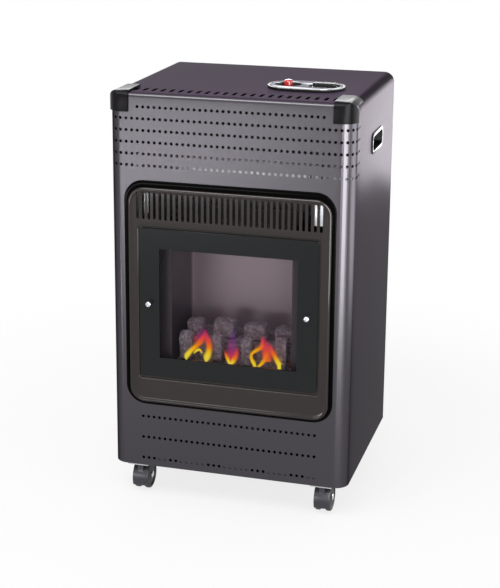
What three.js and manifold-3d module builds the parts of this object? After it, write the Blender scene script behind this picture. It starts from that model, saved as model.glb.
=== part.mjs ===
// Portable gas cabinet heater with a living-flame firebox, in millimetres.
// X runs to the right, Y runs from the front to the rear and Z runs up.
// Pieces are drawn with Y = 0 on the front panel and Z = 0 on the floor.
import * as THREE from "three";
import { mergeGeometries, mergeVertices } from "three/addons/utils/BufferGeometryUtils.js";
import Module from "manifold-3d";

const wasm = await Module();
wasm.setup();

// ---------------------------------------------------------------- driving sizes
const SHEET = 1; // cabinet sheet steel
const GAP = 0.3; // clearance between pieces that touch
const RETURN = 12; // inward flange along a sheet's edge

const CABINET_WIDTH = 424;
const CABINET_DEPTH = 344; // front panel to the rear edge of the sides
const CABINET_TOP = 730;
const CABINET_BASE = 60; // height of the underside, set by the castors
const SIDE_BEND = 25; // radius of the front panel's upright bends
const TOP_BEND = 18; // radius where the top turns into the sides
const BROW_BEND = 9; // radius along the front panel's top edge
const FRONT_RETURN = 50; // how far the front panel reaches back

const OPENING_WIDTH = 370; // opening in the front panel for the fascia
const OPENING_BASE = 177;
const OPENING_HEIGHT = 404;
const OPENING_RADIUS = 35;

const HOLE_DIAMETER = 4.8; // perforations
const HOLE_SQUARE = 0.8 * HOLE_DIAMETER; // side of the square that stands for a round hole
const HOLE_PITCH = 10;
const CAP_ROW_MARGIN = 52; // from the cabinet's side to the last hole between the caps
const WRAP_ROW_REACH = 28; // how much further the long rows run, along the bent sheet
const LOWER_ROW_MARGIN = 57;
const UPPER_ROWS = { top: 706, step: 20, count: 6 }; // the first ends at the caps
const LOWER_ROWS = { top: 153.2, step: 39.15, count: 3 };

const TRIM_SIDE = 7; // visible width of the black surround at the sides
const TRIM_TOP = 12;
const TRIM_BASE = 4;
const TRIM_DEPTH = 14;
const TRIM_LIP = 4; // flange that holds the surround behind the panel
const FASCIA_PROUD = 4; // fascia face ahead of the front panel
const FASCIA_DEPTH = 15;
const FASCIA_WALL = 2;
const FASCIA_RADIUS = 28;
const FASCIA_ROUND = 4; // rounding of the fascia's rim

const SLOT_PITCH = 10; // grille slots in the fascia
const SLOT_WIDTH = 5;
const SLOT_LENGTH = 47;
const SLOT_CENTRE = 537; // height of the grille's middle
const SLOT_MARGIN = 18; // from the fascia's edge to the last slot's middle

const GLASS_SIDE = 28; // from the opening's edge to the glass
const GLASS_HEIGHT = 266;
const GLASS_CENTRE = 365; // height of the glass's middle
const GLASS_THICK = 4;
const GLASS_BORDER = 35; // printed border round the clear window
const GLASS_MARGIN = 3; // shadow gap round the glass
const LAND_WIDTH = 30; // ledge in the fascia behind the glass
const STUD_HEAD = 10; // diameter of the glass screws' heads
const STUD_SLEEVE = 6.8; // spacer under the head
const STUD_SHANK = 4.4;
const STUD_REACH = 11; // how far they stand out of the panel's face

const VENT_MARGIN = 40; // from the cabinet's side to the last vent's middle
const VENT_PITCH = 15.6; // slots along the front of the top
const VENT_WIDTH = 5;
const VENT_FRONT = 21;
const VENT_LENGTH = 27;

const CAP_WALL = 3.2; // corner caps
const CAP_REACH_X = 36;
const CAP_REACH_DOWN = 33;
const CAP_REACH_BACK = 64;

const GRIP_CENTRE_Y = 192; // hand-holds in the sides
const GRIP_CENTRE_Z = 635;
const GRIP_LENGTH = 88;
const GRIP_HEIGHT = 32;
const GRIP_DEPTH = 26;
const GRIP_WALL = 1.6;
const GRIP_CORNER = 10;
const GRIP_FLANGE = 2.5; // rim outside the cabinet's skin

const CONTROL_X = 97.5; // middle of the control panel in the top
const CONTROL_Y = 137.5;
const CONTROL_LENGTH = 134;
const CONTROL_WIDTH = 87;
const CONTROL_RIM = 3.4; // bezel height above the top
const CONTROL_TUB = 20; // bezel depth below the top
const CONTROL_LIP = 4; // width of the bezel's rim
const CONTROL_SEAT = 1.2; // depth of the plate's seat in the rim
const CONTROL_SHEET = 1.6; // thickness of the plate
const WELL_SPREAD = 31.5; // each well's distance from the middle
const BUTTON_WELL = 46;
const BUTTON_WELL_DEPTH = 8;
const KNOB_WELL = 54;
const KNOB_WELL_DEPTH = 11;
const BUTTON_DIAMETER = 15;
const BUTTON_RISE = 9; // button above the bezel's rim
const BUTTON_TRAVEL = 5;
const KNOB_DIAMETER = 46;
const KNOB_FACE = 3; // knob's face above the top, and its grip above that
const KNOB_GRIP = 6;
const KNOB_TRAVEL = 3.5;
const SPINDLE_DIAMETER = 8;
const BRACKET_DROP = 28; // control bracket below the top sheet

const TRAY_SHEET = 1.2;
const TRAY_WALL = 24; // upstand of the base tray
const TRAY_LIP = 9; // low rear lip that the cylinder passes over
const CYLINDER_RING = 138; // radius of the bead that locates the cylinder
const BAY_DEPTH = 306; // room for the cylinder behind the partition
const BULGE_FRONT = 175; // half width of the rear bulge at the cabinet
const BULGE_REAR = 122; // half width of the rear bulge at its back
const BULGE_TOP = 650;
const COVER_LIFT = 18; // lift that frees the rear cover's hooks
const HOOK_HEIGHTS = [200, 560];

const PARTITION_Y = 142; // sheet between the firebox and the cylinder
const PARTITION_TOP = 595;
const DEFLECTOR_FRONT = 55; // sheet that leans forward over the firebox
const DEFLECTOR_TOP = 700;
const DEFLECTOR_EDGE = 14; // its upturned front edge
const FIREBOX_HALF = 107; // half width inside the firebox
const FIREBOX_FRONT = 19;
const FIREBOX_SKIRT = 7; // liner below the burner tray
const FIREBOX_TOP = 508;
const FIREBOX_FLANGE = 43; // sideways flange at the firebox's mouth
const ROOF_FRONT = 70; // front edge of the firebox roof
const BED_UNDERSIDE = 238;
const BED_THICK = 12;
const BED_FRONT = 23;
const LEDGE_RISE = 36; // raised rear half of the ember bed
const LEDGE_Y = 63;
const BURNER_Y = 49;
const BURNER_RADIUS = 12;
const BURNER_WALL = 1.2;
const BURNER_ROOM = 2; // under the burner, down to its tray
const BURNER_END = 140;

const CASTOR_SIDE = 45; // from the cabinet's side to a castor's stem
const CASTOR_FRONT_Y = 22;
const CASTOR_REAR = 38; // from the cabinet's rear edge to a castor's stem
const WHEEL_DIAMETER = 50;
const WHEEL_WIDTH = 8.8;
const CASTOR_WEB = 10;
const CASTOR_TRAIL = 18;
const HOOD_ROOM = 1.2; // between the tread and the hood
const HOOD_WALL = 2.2;
const HOOD_SKIRT = 12; // height of the hood's lower edge
const SOCKET_RADIUS = 8.5; // boss round the stem
const PLATE_SIZE = 40;
const PLATE_THICK = 2.4;
const STEM_DIAMETER = 7;
const STEM_LENGTH = 18;
const AXLE_DIAMETER = 7;
const AXLE_HEAD = 1.4;

// ---------------------------------------------------------------- worked-out places
const oddCount = (half, pitch) => 2 * Math.floor(half / pitch) + 1;
const HALF_WIDTH = CABINET_WIDTH / 2;
const OPENING_TOP = OPENING_BASE + OPENING_HEIGHT;
const FASCIA_HALF = OPENING_WIDTH / 2 - TRIM_SIDE;
const FASCIA_BASE = OPENING_BASE + TRIM_BASE;
const FASCIA_TOP = OPENING_TOP - TRIM_TOP;
const FASCIA_FACE = -FASCIA_PROUD;
const LAND_FRONT = FASCIA_FACE + GLASS_THICK + GAP;
const LAND_BACK = LAND_FRONT + FASCIA_WALL;
const SLOT_COUNT = oddCount(FASCIA_HALF - SLOT_MARGIN, SLOT_PITCH);
const VENT_COUNT = oddCount(HALF_WIDTH - VENT_MARGIN, VENT_PITCH);
const GLASS_WIDTH = OPENING_WIDTH - 2 * GLASS_SIDE;
const GLASS_BASE = GLASS_CENTRE - GLASS_HEIGHT / 2;
const GLASS_TOP = GLASS_CENTRE + GLASS_HEIGHT / 2;
const STUD_X = (GLASS_WIDTH - GLASS_BORDER) / 2;
const STUD_BORE = STUD_SHANK / 2 + 0.4; // radius of the holes for the studs
const TRAY_TOP = CABINET_BASE + TRAY_WALL;
const BULGE_BACK = PARTITION_Y + SHEET + BAY_DEPTH + SHEET;
const LINER_BACK = PARTITION_Y - GAP;
const BED_TOP = BED_UNDERSIDE + BED_THICK;
const LEDGE_TOP = BED_TOP + LEDGE_RISE;
const BURNER_Z = BED_UNDERSIDE - GAP - BURNER_RADIUS;
const TRAY_FLOOR = BED_UNDERSIDE - 2 * BURNER_RADIUS - BURNER_ROOM;
const FIREBOX_BASE = TRAY_FLOOR - FIREBOX_SKIRT;
const BUTTON_X = CONTROL_X - WELL_SPREAD;
const KNOB_X = CONTROL_X + WELL_SPREAD;
const BRACKET_TOP = CABINET_TOP - BRACKET_DROP;
const TUB_FLOOR = CABINET_TOP - CONTROL_TUB;
const RIM_TOP = CABINET_TOP + CONTROL_RIM;
const CASTOR_X = HALF_WIDTH - CASTOR_SIDE;
const CASTOR_REAR_Y = CABINET_DEPTH - CASTOR_REAR;
const SLEEVE_RADIUS = AXLE_DIAMETER / 2 + 2; // joins a castor's wheels through its web
const MIDDLE_Y = (BULGE_BACK + FASCIA_FACE - STUD_REACH) / 2;

// ---------------------------------------------------------------- solid helpers
function solid(geometry) {
  const loose = geometry.index ? geometry.toNonIndexed() : geometry;
  const bare = new THREE.BufferGeometry();
  bare.setAttribute("position", loose.getAttribute("position").clone());
  const merged = mergeVertices(bare, 1e-4);
  return new wasm.Manifold(
    new wasm.Mesh({
      numProp: 3,
      vertProperties: merged.attributes.position.array,
      triVerts: new Uint32Array(merged.index.array),
    }),
  );
}

function geometryOf(manifold) {
  const mesh = manifold.getMesh();
  const geometry = new THREE.BufferGeometry();
  geometry.setAttribute("position", new THREE.BufferAttribute(mesh.vertProperties, 3));
  geometry.setIndex(new THREE.BufferAttribute(mesh.triVerts, 1));
  const flat = geometry.toNonIndexed();
  flat.computeVertexNormals();
  return flat;
}

function union(...pieces) {
  return pieces.reduce((whole, piece) => whole.add(piece));
}

function boxGeometry(x0, x1, y0, y1, z0, z1) {
  const geometry = new THREE.BoxGeometry(Math.abs(x1 - x0), Math.abs(y1 - y0), Math.abs(z1 - z0));
  return geometry.translate((x0 + x1) / 2, (y0 + y1) / 2, (z0 + z1) / 2);
}

const box = (...limits) => solid(boxGeometry(...limits));

function extruded(shape, depth, arc) {
  return new THREE.ExtrudeGeometry(shape, { depth, curveSegments: arc, bevelEnabled: false });
}

// Shapes drawn in (x, y), (x, z) and (y, z), pushed along the third axis.
const alongZ = (shape, z0, z1, arc = 3) =>
  solid(extruded(shape, z1 - z0, arc).translate(0, 0, z0));
const alongY = (shape, y0, y1, arc = 3) =>
  solid(extruded(shape, y1 - y0, arc).rotateX(Math.PI / 2).translate(0, y1, 0));
const YZ_TO_X = new THREE.Matrix4().makeBasis(
  new THREE.Vector3(0, 1, 0),
  new THREE.Vector3(0, 0, 1),
  new THREE.Vector3(1, 0, 0),
);
const alongX = (shape, x0, x1, arc = 3) =>
  solid(extruded(shape, x1 - x0, arc).applyMatrix4(YZ_TO_X).translate(x0, 0, 0));

function cylinderZ(x, y, radius, z0, z1, sides = 20) {
  const geometry = new THREE.CylinderGeometry(radius, radius, z1 - z0, sides);
  return solid(geometry.rotateX(Math.PI / 2).translate(x, y, (z0 + z1) / 2));
}

function cylinderX(y, z, radius, x0, x1, sides = 20) {
  const geometry = new THREE.CylinderGeometry(radius, radius, x1 - x0, sides);
  return solid(geometry.rotateZ(-Math.PI / 2).translate((x0 + x1) / 2, y, z));
}

function cylinderY(x, z, radius, y0, y1, sides = 20) {
  const geometry = new THREE.CylinderGeometry(radius, radius, y1 - y0, sides);
  return solid(geometry.translate(x, (y0 + y1) / 2, z));
}

// Radius of a many-sided bore whose flats clear a shaft that turns in it.
const boreRadius = (shaft, sides) => (shaft + GAP) / Math.cos(Math.PI / sides);

// A solid of revolution about a vertical axis; points are [radius, height], upwards.
function turned(points, sides = 24) {
  const profile = points.map(([r, z]) => new THREE.Vector2(r, z));
  return new THREE.LatheGeometry(profile, sides).rotateX(Math.PI / 2);
}

function polygon(points) {
  return new THREE.Shape(points.map(([u, v]) => new THREE.Vector2(u, v)));
}

// Corner radii run anticlockwise from the corner at (u0, v0).
function roundedRect(u0, u1, v0, v1, radii) {
  const [a, b, c, d] = Array.isArray(radii) ? radii : [radii, radii, radii, radii];
  const shape = new THREE.Shape();
  const turn = (cu, cv, r, from) => {
    if (r > 0) shape.absarc(cu, cv, r, from, from + Math.PI / 2, false);
    else shape.lineTo(cu, cv);
  };
  shape.moveTo(u0 + a, v0);
  shape.lineTo(u1 - b, v0);
  turn(u1 - b, v0 + b, b, -Math.PI / 2);
  shape.lineTo(u1, v1 - c);
  turn(u1 - c, v1 - c, c, 0);
  shape.lineTo(u0 + d, v1);
  turn(u0 + d, v1 - d, d, Math.PI / 2);
  shape.lineTo(u0, v0 + a);
  turn(u0 + a, v0 + a, a, Math.PI);
  return shape;
}

// A slot from (u0, v0) to (u1, v1) whose ends are cut off at 45 degrees.
function slotOutline(u0, u1, v0, v1) {
  const cut = Math.min(u1 - u0, v1 - v0) * 0.3;
  return polygon([
    [u0 + cut, v0],
    [u1 - cut, v0],
    [u1, v0 + cut],
    [u1, v1 - cut],
    [u1 - cut, v1],
    [u0 + cut, v1],
    [u0, v1 - cut],
    [u0, v0 + cut],
  ]);
}

// The section of a folded sheet: a line of bends, thickened to its left.
function foldedSheet(points, thickness = SHEET) {
  const line = points.map(([u, v]) => new THREE.Vector2(u, v));
  const normal = (i) => {
    const along = line[i + 1].clone().sub(line[i]).normalize();
    return new THREE.Vector2(-along.y, along.x);
  };
  const other = line.map((point, i) => {
    const before = normal(Math.max(i - 1, 0));
    const after = normal(Math.min(i, line.length - 2));
    const mitre = before.clone().add(after).normalize();
    return point.clone().addScaledVector(mitre, thickness / mitre.dot(before));
  });
  return new THREE.Shape([...line, ...other.reverse()].map((p) => p.clone()));
}

// A round rod or tube that follows a smooth curve through the points.
function rod(points, radius, steps, sides = 8) {
  const path = new THREE.CatmullRomCurve3(points.map((p) => new THREE.Vector3(...p)));
  const section = new THREE.Shape();
  section.absarc(0, 0, radius, 0, Math.PI * 2, false);
  const options = { steps, curveSegments: sides / 2, bevelEnabled: false, extrudePath: path };
  return solid(new THREE.ExtrudeGeometry(section, options));
}

// ---------------------------------------------------------------- cabinet
// The cabinet's outer form drawn in by an inset, open past its base and its rear.
function cabinetVolume(inset) {
  const half = HALF_WIDTH - inset;
  const top = CABINET_TOP - inset;
  const below = CABINET_BASE - RETURN;
  const behind = CABINET_DEPTH + RETURN;
  const round = (radius) => Math.max(radius - inset, 0);
  const side = round(SIDE_BEND);
  const shoulder = round(TOP_BEND);
  const plan = roundedRect(-half, half, inset, behind, [side, side, 0, 0]);
  const front = roundedRect(-half, half, below, top, [0, 0, shoulder, shoulder]);
  const profile = roundedRect(inset, behind, below, top, [0, 0, 0, round(BROW_BEND)]);
  return alongZ(plan, below, top + 1)
    .intersect(alongY(front, inset - 1, behind + 1))
    .intersect(alongX(profile, -half - 1, half + 1, 2));
}

function slab(y0, y1, z0) {
  return box(-CABINET_WIDTH, CABINET_WIDTH, y0, y1, z0, CABINET_TOP * 2);
}

// Outer sheet between two depths, with inward returns at the given depths.
function wrappedSheet(y0, y1, returns) {
  const skin = cabinetVolume(0).subtract(cabinetVolume(SHEET)).intersect(slab(y0, y1, CABINET_BASE));
  const ring = cabinetVolume(SHEET / 2).subtract(cabinetVolume(SHEET + RETURN));
  return returns.reduce(
    (sheet, y) => sheet.add(ring.intersect(slab(y, y + SHEET, TRAY_TOP + RETURN))),
    skin,
  );
}

function ventSlots() {
  const first = -((VENT_COUNT - 1) / 2) * VENT_PITCH;
  const cutters = [];
  for (let i = 0; i < VENT_COUNT; i++) {
    const x = first + i * VENT_PITCH;
    const slot = slotOutline(
      x - VENT_WIDTH / 2,
      x + VENT_WIDTH / 2,
      VENT_FRONT,
      VENT_FRONT + VENT_LENGTH,
    );
    const depth = 4 * SHEET;
    cutters.push(extruded(slot, depth, 1).translate(0, 0, CABINET_TOP - depth / 2));
  }
  return solid(mergeGeometries(cutters));
}

// A place on the front panel's skin at a length along its bent section, and its heading.
function alongPanel(length) {
  const flat = HALF_WIDTH - SIDE_BEND;
  const beyond = Math.abs(length) - flat;
  if (beyond <= 0) return { x: length, y: 0, heading: 0 };
  const angle = Math.min(beyond / SIDE_BEND, Math.PI / 2);
  const side = Math.sign(length);
  return {
    x: side * (flat + SIDE_BEND * Math.sin(angle)),
    y: SIDE_BEND * (1 - Math.cos(angle)) + beyond - angle * SIDE_BEND,
    heading: side * angle,
  };
}

// Square punches for one row of holes, turned with the bend.
function holeRow(z, halfLength) {
  const half = HOLE_SQUARE / 2;
  const reach = 2.5 * SHEET;
  const punches = [];
  for (let length = -halfLength; length <= halfLength; length += HOLE_PITCH) {
    const { x, y, heading } = alongPanel(length);
    const punch = boxGeometry(-half, half, -reach, reach, -half, half);
    punches.push(punch.rotateZ(heading).translate(x, y, z));
  }
  return punches;
}

function perforations() {
  const punches = [];
  for (let row = 0; row < UPPER_ROWS.count; row++) {
    const half = row === 0 ? HALF_WIDTH - CAP_ROW_MARGIN : HALF_WIDTH + WRAP_ROW_REACH;
    punches.push(...holeRow(UPPER_ROWS.top - row * UPPER_ROWS.step, half));
  }
  for (let row = 0; row < LOWER_ROWS.count; row++) {
    const z = LOWER_ROWS.top - row * LOWER_ROWS.step;
    punches.push(...holeRow(z, HALF_WIDTH - LOWER_ROW_MARGIN));
  }
  return solid(mergeGeometries(punches));
}

function frontPanel() {
  const opening = roundedRect(
    -OPENING_WIDTH / 2,
    OPENING_WIDTH / 2,
    OPENING_BASE,
    OPENING_TOP,
    OPENING_RADIUS,
  );
  return wrappedSheet(-1, FRONT_RETURN, [FRONT_RETURN - SHEET])
    .subtract(alongY(opening, -1, SIDE_BEND, 4))
    .subtract(ventSlots())
    .subtract(perforations());
}

function controlOutline(margin) {
  const halfLength = CONTROL_LENGTH / 2 - margin;
  const halfWidth = CONTROL_WIDTH / 2 - margin;
  return roundedRect(
    CONTROL_X - halfLength,
    CONTROL_X + halfLength,
    CONTROL_Y - halfWidth,
    CONTROL_Y + halfWidth,
    halfWidth - 0.01,
  );
}

function gripOutline(margin) {
  const halfLength = GRIP_LENGTH / 2 - margin;
  const halfHeight = GRIP_HEIGHT / 2 - margin;
  return roundedRect(
    GRIP_CENTRE_Y - halfLength,
    GRIP_CENTRE_Y + halfLength,
    GRIP_CENTRE_Z - halfHeight,
    GRIP_CENTRE_Z + halfHeight,
    GRIP_CORNER - margin,
  );
}

function hookSlots() {
  const x0 = HALF_WIDTH - SHEET - RETURN + 3;
  return HOOK_HEIGHTS.flatMap((z) =>
    [-1, 1].map((side) =>
      box(
        side * x0,
        side * (x0 + 7),
        CABINET_DEPTH - 2 * SHEET,
        CABINET_DEPTH + SHEET,
        z - GAP,
        z + COVER_LIFT + RETURN,
      ),
    ),
  );
}

function cabinetShell() {
  const start = FRONT_RETURN + GAP;
  const sheet = wrappedSheet(start, CABINET_DEPTH, [start, CABINET_DEPTH - SHEET]);
  const cuts = [
    alongZ(controlOutline(CONTROL_LIP), CABINET_TOP - 2 * SHEET, CABINET_TOP + SHEET),
    alongX(gripOutline(GRIP_WALL), -CABINET_WIDTH, CABINET_WIDTH, 2),
    ...hookSlots(),
  ];
  return cuts.reduce((body, cut) => body.subtract(cut), sheet);
}

// Half width of the rear bulge's inside or outside at a depth.
function bulgeOutline(inset, y0) {
  const slope = (BULGE_FRONT - BULGE_REAR) / (BULGE_BACK - CABINET_DEPTH);
  const shrink = inset * Math.hypot(1, slope);
  const half = (y) => BULGE_FRONT - slope * (y - CABINET_DEPTH) - shrink;
  return { half, start: y0, end: BULGE_BACK - inset };
}

function bulgeVolume(inset, y0, z0) {
  const { half, end } = bulgeOutline(inset, y0);
  const plan = polygon([
    [-half(y0), y0],
    [half(y0), y0],
    [half(end), end],
    [-half(end), end],
  ]);
  const fall = 0.55;
  const shrink = inset * Math.hypot(1, fall);
  const roof = (y) => BULGE_TOP - fall * (y - CABINET_DEPTH) - shrink;
  const profile = polygon([
    [y0, z0],
    [end, z0],
    [end, roof(end)],
    [y0, roof(y0)],
  ]);
  return alongZ(plan, z0, BULGE_TOP + RETURN).intersect(alongX(profile, -HALF_WIDTH, HALF_WIDTH));
}

function coverLouvres() {
  const cutters = [];
  for (const z of [130, 146, 162, 500, 516, 532]) {
    for (const x of [-60, 0, 60]) {
      cutters.push(boxGeometry(x - 24, x + 24, BULGE_BACK - 3, BULGE_BACK + 3, z, z + 5));
    }
  }
  return solid(mergeGeometries(cutters));
}

function coverHooks(inner) {
  const x0 = HALF_WIDTH - SHEET - RETURN + 3.5;
  const lipBack = CABINET_DEPTH - SHEET - GAP;
  return HOOK_HEIGHTS.flatMap((z) =>
    [-1, 1].flatMap((side) => [
      box(side * x0, side * (x0 + 6), lipBack - 2, inner + SHEET / 2, z, z + 8),
      box(side * x0, side * (x0 + 6), lipBack - 2, lipBack, z - 11, z + 8),
    ]),
  );
}

function rearCover() {
  const inner = CABINET_DEPTH + GAP;
  const half = HALF_WIDTH - 2;
  const base = CABINET_BASE + 2;
  const plate = alongY(
    roundedRect(-half, half, base, CABINET_TOP - 8, [2, 2, 14, 14]),
    inner,
    inner + SHEET,
  );
  const bulge = bulgeVolume(0, inner, base).subtract(bulgeVolume(SHEET, inner - 5, base - 5));
  return union(
    plate.subtract(bulgeVolume(SHEET, inner - 5, base - 5)),
    bulge,
    ...coverHooks(inner),
  ).subtract(coverLouvres());
}

function trayOutline(inset) {
  const half = HALF_WIDTH - SHEET - GAP - inset;
  const front = SHEET + GAP + inset;
  const rear = CABINET_DEPTH - inset;
  const bend = SIDE_BEND - SHEET - GAP - inset;
  const wing = bulgeOutline(SHEET + GAP + inset, rear);
  const shape = new THREE.Shape();
  shape.moveTo(-half + bend, front);
  shape.lineTo(half - bend, front);
  shape.absarc(half - bend, front + bend, bend, -Math.PI / 2, 0, false);
  shape.lineTo(half, rear);
  shape.lineTo(wing.half(rear), rear);
  shape.lineTo(wing.half(wing.end), wing.end);
  shape.lineTo(-wing.half(wing.end), wing.end);
  shape.lineTo(-wing.half(rear), rear);
  shape.lineTo(-half, rear);
  shape.lineTo(-half, front + bend);
  shape.absarc(-half + bend, front + bend, bend, Math.PI, Math.PI * 1.5, false);
  return shape;
}

// Front upstand notches, as [first, last] hole of the lowest row that stays open.
const NOTCHES = [
  [-155, -135],
  [-105, -95],
  [-35, -15],
  [45, 65],
  [115, 135],
];

function baseTray() {
  const floor = CABINET_BASE + TRAY_SHEET;
  const pan = alongZ(trayOutline(0), CABINET_BASE, TRAY_TOP)
    .subtract(alongZ(trayOutline(TRAY_SHEET), floor, TRAY_TOP + 1))
    .subtract(slab(CABINET_DEPTH + GAP, BULGE_BACK, CABINET_BASE + TRAY_LIP));
  const notches = NOTCHES.map(([a, b]) =>
    box(a - 5, b + 5, 0, 4, CABINET_BASE + TRAY_LIP, TRAY_TOP + 1),
  );
  const cylinderY0 = PARTITION_Y + SHEET + BAY_DEPTH / 2;
  const bead = turned(
    [
      [CYLINDER_RING + 5, 0],
      [CYLINDER_RING + 8, 0],
      [CYLINDER_RING + 6.5, 3],
      [CYLINDER_RING + 5, 0],
    ],
    32,
  );
  const ring = solid(bead.translate(0, cylinderY0, floor - 0.2));
  return notches.reduce((tray, notch) => tray.subtract(notch), pan).add(
    ring.intersect(alongZ(trayOutline(2), CABINET_BASE, TRAY_TOP)),
  );
}

// ---------------------------------------------------------------- trims on the cabinet
function cornerCap(side) {
  const inner = HALF_WIDTH - CAP_REACH_X;
  const outer = HALF_WIDTH + RETURN;
  const shell = cabinetVolume(-CAP_WALL).subtract(cabinetVolume(-GAP));
  const foot = CABINET_TOP - CAP_REACH_DOWN;
  const corner = box(side * inner, side * outer, -RETURN, 18, foot, CABINET_TOP + RETURN);
  const topArm = box(
    side * inner,
    side * outer,
    -RETURN,
    CAP_REACH_BACK,
    CABINET_TOP - 6,
    CABINET_TOP + RETURN,
  );
  return shell.intersect(corner.add(topArm));
}

function handGrip(side) {
  const face = HALF_WIDTH + GAP;
  const span = (shape, x0, x1) =>
    alongX(shape, Math.min(side * x0, side * x1), Math.max(side * x0, side * x1), 2);
  const flange = span(gripOutline(-GRIP_FLANGE), face, face + 1.4);
  const cup = span(gripOutline(GRIP_WALL + GAP), HALF_WIDTH - GRIP_DEPTH, face + 0.5);
  const pocket = span(
    gripOutline(2 * GRIP_WALL + GAP),
    HALF_WIDTH - GRIP_DEPTH + GRIP_WALL,
    HALF_WIDTH + RETURN,
  );
  return flange.add(cup).subtract(pocket);
}

// ---------------------------------------------------------------- fascia and glass
function fasciaOutline(margin) {
  return roundedRect(
    -FASCIA_HALF - margin,
    FASCIA_HALF + margin,
    FASCIA_BASE - margin,
    FASCIA_TOP + margin,
    FASCIA_RADIUS + margin,
  );
}

function surroundTrim() {
  const outline = (margin) =>
    roundedRect(
      -OPENING_WIDTH / 2 - margin,
      OPENING_WIDTH / 2 + margin,
      OPENING_BASE - margin,
      OPENING_TOP + margin,
      OPENING_RADIUS + margin,
    );
  const lipFront = SHEET + GAP;
  return alongY(outline(-GAP), -1, TRIM_DEPTH, 4)
    .add(alongY(outline(TRIM_LIP), lipFront, lipFront + 1.4, 4))
    .subtract(alongY(fasciaOutline(GAP), -5, TRIM_DEPTH + 5, 4));
}

function grilleSlots() {
  const first = -((SLOT_COUNT - 1) / 2) * SLOT_PITCH;
  const cutters = [];
  for (let i = 0; i < SLOT_COUNT; i++) {
    const x = first + i * SLOT_PITCH;
    const slot = slotOutline(
      x - SLOT_WIDTH / 2,
      x + SLOT_WIDTH / 2,
      SLOT_CENTRE - SLOT_LENGTH / 2,
      SLOT_CENTRE + SLOT_LENGTH / 2,
    );
    const cutter = extruded(slot, 4 * FASCIA_WALL, 1).rotateX(Math.PI / 2);
    cutters.push(cutter.translate(0, FASCIA_FACE + 2 * FASCIA_WALL, 0));
  }
  return solid(mergeGeometries(cutters));
}

// Fascia body with a rounded rim, from its face to a depth behind it.
function fasciaBlock(margin, face, back) {
  const round = FASCIA_ROUND;
  const options = {
    depth: back - face - round,
    curveSegments: 4,
    bevelSize: round,
    bevelThickness: round,
    bevelSegments: 2,
  };
  const geometry = new THREE.ExtrudeGeometry(fasciaOutline(margin - round), options);
  const bothEnds = solid(geometry.rotateX(Math.PI / 2).translate(0, back, 0));
  return bothEnds.intersect(box(-HALF_WIDTH, HALF_WIDTH, face - 1, back, 0, CABINET_TOP));
}

function fascia() {
  const back = FASCIA_FACE + FASCIA_DEPTH;
  const hollow = fasciaBlock(-FASCIA_WALL, FASCIA_FACE + FASCIA_WALL, back + 3 * FASCIA_ROUND);
  const pocketHalf = GLASS_WIDTH / 2 + GLASS_MARGIN;
  const pocketBase = GLASS_BASE - 2 * GLASS_MARGIN;
  const pocketTop = GLASS_TOP + GLASS_MARGIN;
  const rect = (grow, radius) =>
    roundedRect(-pocketHalf - grow, pocketHalf + grow, pocketBase - grow, pocketTop + grow, radius);
  const well = alongY(rect(FASCIA_WALL, 7), FASCIA_FACE + FASCIA_WALL / 2, LAND_BACK, 2);
  const pocket = alongY(rect(0, 5), FASCIA_FACE - 1, LAND_FRONT, 2);
  const window = alongY(rect(-LAND_WIDTH, 3), LAND_FRONT - 1, LAND_BACK + 1, 1);
  const studHoles = [-1, 1].map((side) =>
    cylinderY(side * STUD_X, GLASS_CENTRE, STUD_BORE, LAND_FRONT - 1, LAND_BACK + 1, 10),
  );
  const body = fasciaBlock(0, FASCIA_FACE, back).subtract(hollow).add(well);
  return [pocket, window, ...studHoles, grilleSlots()].reduce((a, b) => a.subtract(b), body);
}

function glassPane() {
  const outline = roundedRect(-GLASS_WIDTH / 2, GLASS_WIDTH / 2, GLASS_BASE, GLASS_TOP, 3);
  const pane = alongY(outline, FASCIA_FACE, FASCIA_FACE + GLASS_THICK, 2);
  const hole = (side) =>
    cylinderY(side * STUD_X, GLASS_CENTRE, STUD_BORE, FASCIA_FACE - 1, GLASS_THICK, 10);
  return pane.subtract(hole(-1)).subtract(hole(1));
}

// A domed screw on a spacer sleeve that clamps the glass to the fascia.
function glassStud(side) {
  const front = -STUD_REACH;
  const radius = STUD_HEAD / 2;
  const sleeve = STUD_SLEEVE / 2;
  const shank = STUD_SHANK / 2;
  const end = LAND_BACK - FASCIA_FACE + 4;
  const profile = turned(
    [
      [0, front],
      [radius * 0.55, front + 0.5],
      [radius, front + 2.2],
      [radius, front + 4],
      [sleeve, front + 4],
      [sleeve, -GAP],
      [shank, -GAP],
      [shank, end],
      [0, end],
    ],
    14,
  );
  // The profile's height runs along Y from the fascia's face.
  return solid(profile.rotateX(-Math.PI / 2).translate(side * STUD_X, FASCIA_FACE, GLASS_CENTRE));
}

// ---------------------------------------------------------------- firebox
function fireboxLiner() {
  const mouth = FIREBOX_HALF + FIREBOX_FLANGE;
  const section = foldedSheet([
    [mouth, LAND_BACK + GAP],
    [mouth, FIREBOX_FRONT],
    [FIREBOX_HALF, FIREBOX_FRONT],
    [FIREBOX_HALF, LINER_BACK - SHEET],
    [-FIREBOX_HALF, LINER_BACK - SHEET],
    [-FIREBOX_HALF, FIREBOX_FRONT],
    [-mouth, FIREBOX_FRONT],
    [-mouth, LAND_BACK + GAP],
  ].reverse());
  const wall = FIREBOX_HALF + SHEET;
  return alongZ(section, FIREBOX_BASE, FIREBOX_TOP)
    .subtract(cylinderX(BURNER_Y, BURNER_Z, BURNER_RADIUS + GAP, FIREBOX_HALF - 1, wall + 2))
    .subtract(box(FIREBOX_HALF - 1, wall + 1, 26, 44, BED_UNDERSIDE + 4, BED_TOP + 16));
}

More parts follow.
